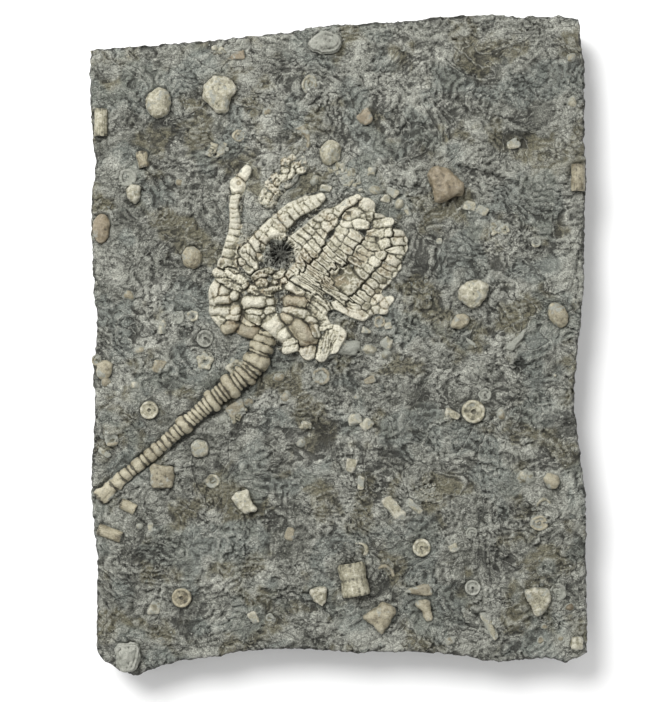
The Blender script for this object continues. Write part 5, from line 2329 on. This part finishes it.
@dataclass
class Rubble:
    """Angular chips of rock and slips of shell strewn over the bedding surface."""

    chips: int = 2200
    slips: int = 420
    seed: int = Seed.RUBBLE.value

    def chips_of_rock(self, rock: Surface, cover: Surface) -> Shape:
        """Sharp little chips, thickest where the bed is rough."""
        draw = np.random.default_rng(self.seed)
        spots = self._spots(draw, self.chips, rock, cover, 0.1)
        count = len(spots)
        long = np.exp(draw.normal(-0.25, 0.42, count))
        wide, thick = long * draw.uniform(0.35, 0.9, count), long * draw.uniform(0.16, 0.36, count)
        return self._strewn(draw, lump(0), spots, np.column_stack([long, wide, thick]), 0.30)

    def slips_of_shell(self, rock: Surface, cover: Surface) -> Shape:
        """Thin pale slips and grains."""
        draw = np.random.default_rng(self.seed + 1)
        spots = self._spots(draw, self.slips, rock, cover, -0.3)
        count = len(spots)
        long = np.exp(draw.normal(-0.1, 0.4, count))
        sizes = np.column_stack([long, draw.uniform(0.18, 0.5, count), draw.uniform(0.14, 0.3, count)])
        return self._strewn(draw, lump(1), spots, sizes, 0.16)

    @staticmethod
    def _spots(draw: np.random.Generator, count: int, rock: Surface, cover: Surface,
               least: float) -> np.ndarray:
        """Places on the rock, clear of the fossils, as (x, y, z) rows."""
        flat = np.column_stack([draw.uniform(-63.5, 63.5, 3 * count), draw.uniform(-84.5, 84.5, 3 * count)])
        flat = flat[rough_field(flat) + draw.normal(0, 0.25, len(flat)) > least]
        height = rock.heights(flat)
        clear = np.isnan(cover.heights(flat)) & ~np.isnan(height)
        return np.column_stack([flat, height])[clear][:count]

    @staticmethod
    def _strewn(draw: np.random.Generator, solid: Shape, spots: np.ndarray, sizes: np.ndarray,
                sink: float) -> Shape:
        """Copies of a solid, each stretched, turned, tipped and set into the rock."""
        corners = np.array(solid.corners)
        count, each = len(spots), len(corners)
        shaped = corners[None] * (1 + draw.normal(0, 0.16, (count, each, 1))) * sizes[:, None] / 2
        turn, tip = draw.uniform(0, math.tau, count), draw.normal(0, 0.4, count)
        x, z = swung(shaped[..., 0], shaped[..., 2], tip)
        x, y = swung(x, shaped[..., 1], turn)
        drop = sink * sizes[:, None, 2:3] - 0.02
        placed = np.stack([x, y, z], axis=2) + spots[:, None] + np.array([0, 0, -1.0]) * drop
        faces = (np.array(solid.faces)[None] + each * np.arange(count)[:, None, None]).reshape(-1, 3)
        shape = Shape(placed.reshape(-1, 3), faces.tolist())
        tone = np.repeat(draw.normal(0.0, 0.45, count), each)
        above = np.clip(z / sizes[:, 2:3] * 2, -1, 1).ravel()
        return (
            shape.mark("relief", 0.25 * above).mark("root", 0.3 * (1 - above) / 2)
            .mark("shade", np.clip(tone, -1, 1)).mark("tint", np.repeat(draw.uniform(0, 0.6, count), each))
        )


# ---------------------------------------------------------------- the studio

@dataclass
class Studio:
    """A pale floor, a soft key light from the upper left, a white sky and a camera straight above."""

    view: tuple[float, float] = (-1.6, -1.3)
    frame_height: float = 182.5
    distance: float = 600.0
    plane: float = 13.5
    sensor: float = 36.0
    key_power: float = 7.0
    key_place: tuple[float, float, float] = (-290.0, 370.0, 640.0)
    key_size: float = 420.0
    sky: float = 0.72
    floor_side: float = 4000.0

    def build(self) -> None:
        """Sets up the floor, the lights and the camera."""
        self._floor()
        self._light("key_light", self.key_place, self.key_size, self.key_power)
        self._camera()
        world = bpy.data.worlds.new("studio_air")
        world.use_nodes = True
        back = world.node_tree.nodes["Background"]
        back.inputs["Color"].default_value = (1.0, 1.0, 1.0, 1.0)
        back.inputs["Strength"].default_value = self.sky
        bpy.context.scene.world = world
        bpy.context.scene.view_settings.view_transform = "Standard"

    def _floor(self) -> None:
        """A wide plain sheet just under the slab."""
        sheet = bmesh.new()
        bmesh.ops.create_grid(sheet, x_segments=8, y_segments=8, size=self.floor_side * MM / 2)
        mesh = bpy.data.meshes.new("studio_floor")
        sheet.to_mesh(mesh)
        sheet.free()
        made = bpy.data.materials.new("studio_paper")
        made.use_nodes = True
        tree = Tree(made.node_tree)
        shader = made.node_tree.nodes["Principled BSDF"]
        where = tree.add("ShaderNodeTexCoord").outputs["Object"]
        tone = tree.noise(where, 90.0, 2.0)
        tree.join(tree.mix(tone, (0.90, 0.90, 0.895), (0.93, 0.93, 0.93)), shader.inputs["Base Color"])
        shader.inputs["Roughness"].default_value = 0.9
        mesh.materials.append(made)
        floor = bpy.data.objects.new("studio_floor", mesh)
        floor.location.z = -0.02 * MM
        bpy.context.scene.collection.objects.link(floor)

    @staticmethod
    def _light(name: str, place: Sequence[float], size: float, power: float) -> None:
        """A round soft light that faces the slab."""
        lamp = bpy.data.lights.new(name, "AREA")
        lamp.shape = "DISK"
        lamp.size = size * MM
        lamp.energy = power
        made = bpy.data.objects.new(name, lamp)
        made.location = Vector(place) * MM
        made.rotation_euler = made.location.to_track_quat("Z", "Y").to_euler()
        bpy.context.scene.collection.objects.link(made)

    def _camera(self) -> None:
        """The camera, looking straight down."""
        lens = bpy.data.cameras.new("camera")
        lens.sensor_width = self.sensor
        lens.lens = self.sensor * self.distance / self.frame_height
        lens.clip_start, lens.clip_end = 0.01, 10.0
        camera = bpy.data.objects.new("camera", lens)
        camera.location = (self.view[0] * MM, self.view[1] * MM, (self.plane + self.distance) * MM)
        bpy.context.scene.collection.objects.link(camera)
        bpy.context.scene.camera = camera


def main() -> None:
    """Builds every piece in order, then the studio."""
    logging.basicConfig(level=logging.INFO, format="%(name)s: %(message)s")
    workshop = Workshop()
    matrix = Matrix(features=FEATURES)
    workshop.piece("matrix", matrix.build(), "limestone", ["slab"])
    workshop.piece("stem_detail", Stem().build(matrix.rock), "tan", ["stem"])
    for name, shape in Crown().build(matrix.rock).items():
        if name in CROWN:
            workshop.piece(f"{name}_detail", shape, CROWN[name].slot, [name])
        else:
            workshop.piece(name, shape, "bed")
    for worn in WEATHERED:
        workshop.piece(f"{worn.node}_detail", worn.build(matrix.rock), worn.slot, [worn.node])
    StemPieces().build(matrix.rock, workshop)
    rubble, fossils = Rubble(), fossil_surface()
    workshop.piece("rock_chips", rubble.chips_of_rock(matrix.rock, fossils), "limestone", faceted=True)
    workshop.piece("shell_slips", rubble.slips_of_shell(matrix.rock, fossils), "grey")
    for slot in ("cream", "tan", "brown", "grey"):
        shapes = [
            loose.build(matrix.rock, Seed.LOOSE + index)
            for index, loose in enumerate(LOOSE) if loose.slot == slot
        ]
        workshop.piece(f"small_ossicles_{slot}", joined(shapes), slot)
    Studio().build()


if __name__ == "__main__":
    main()
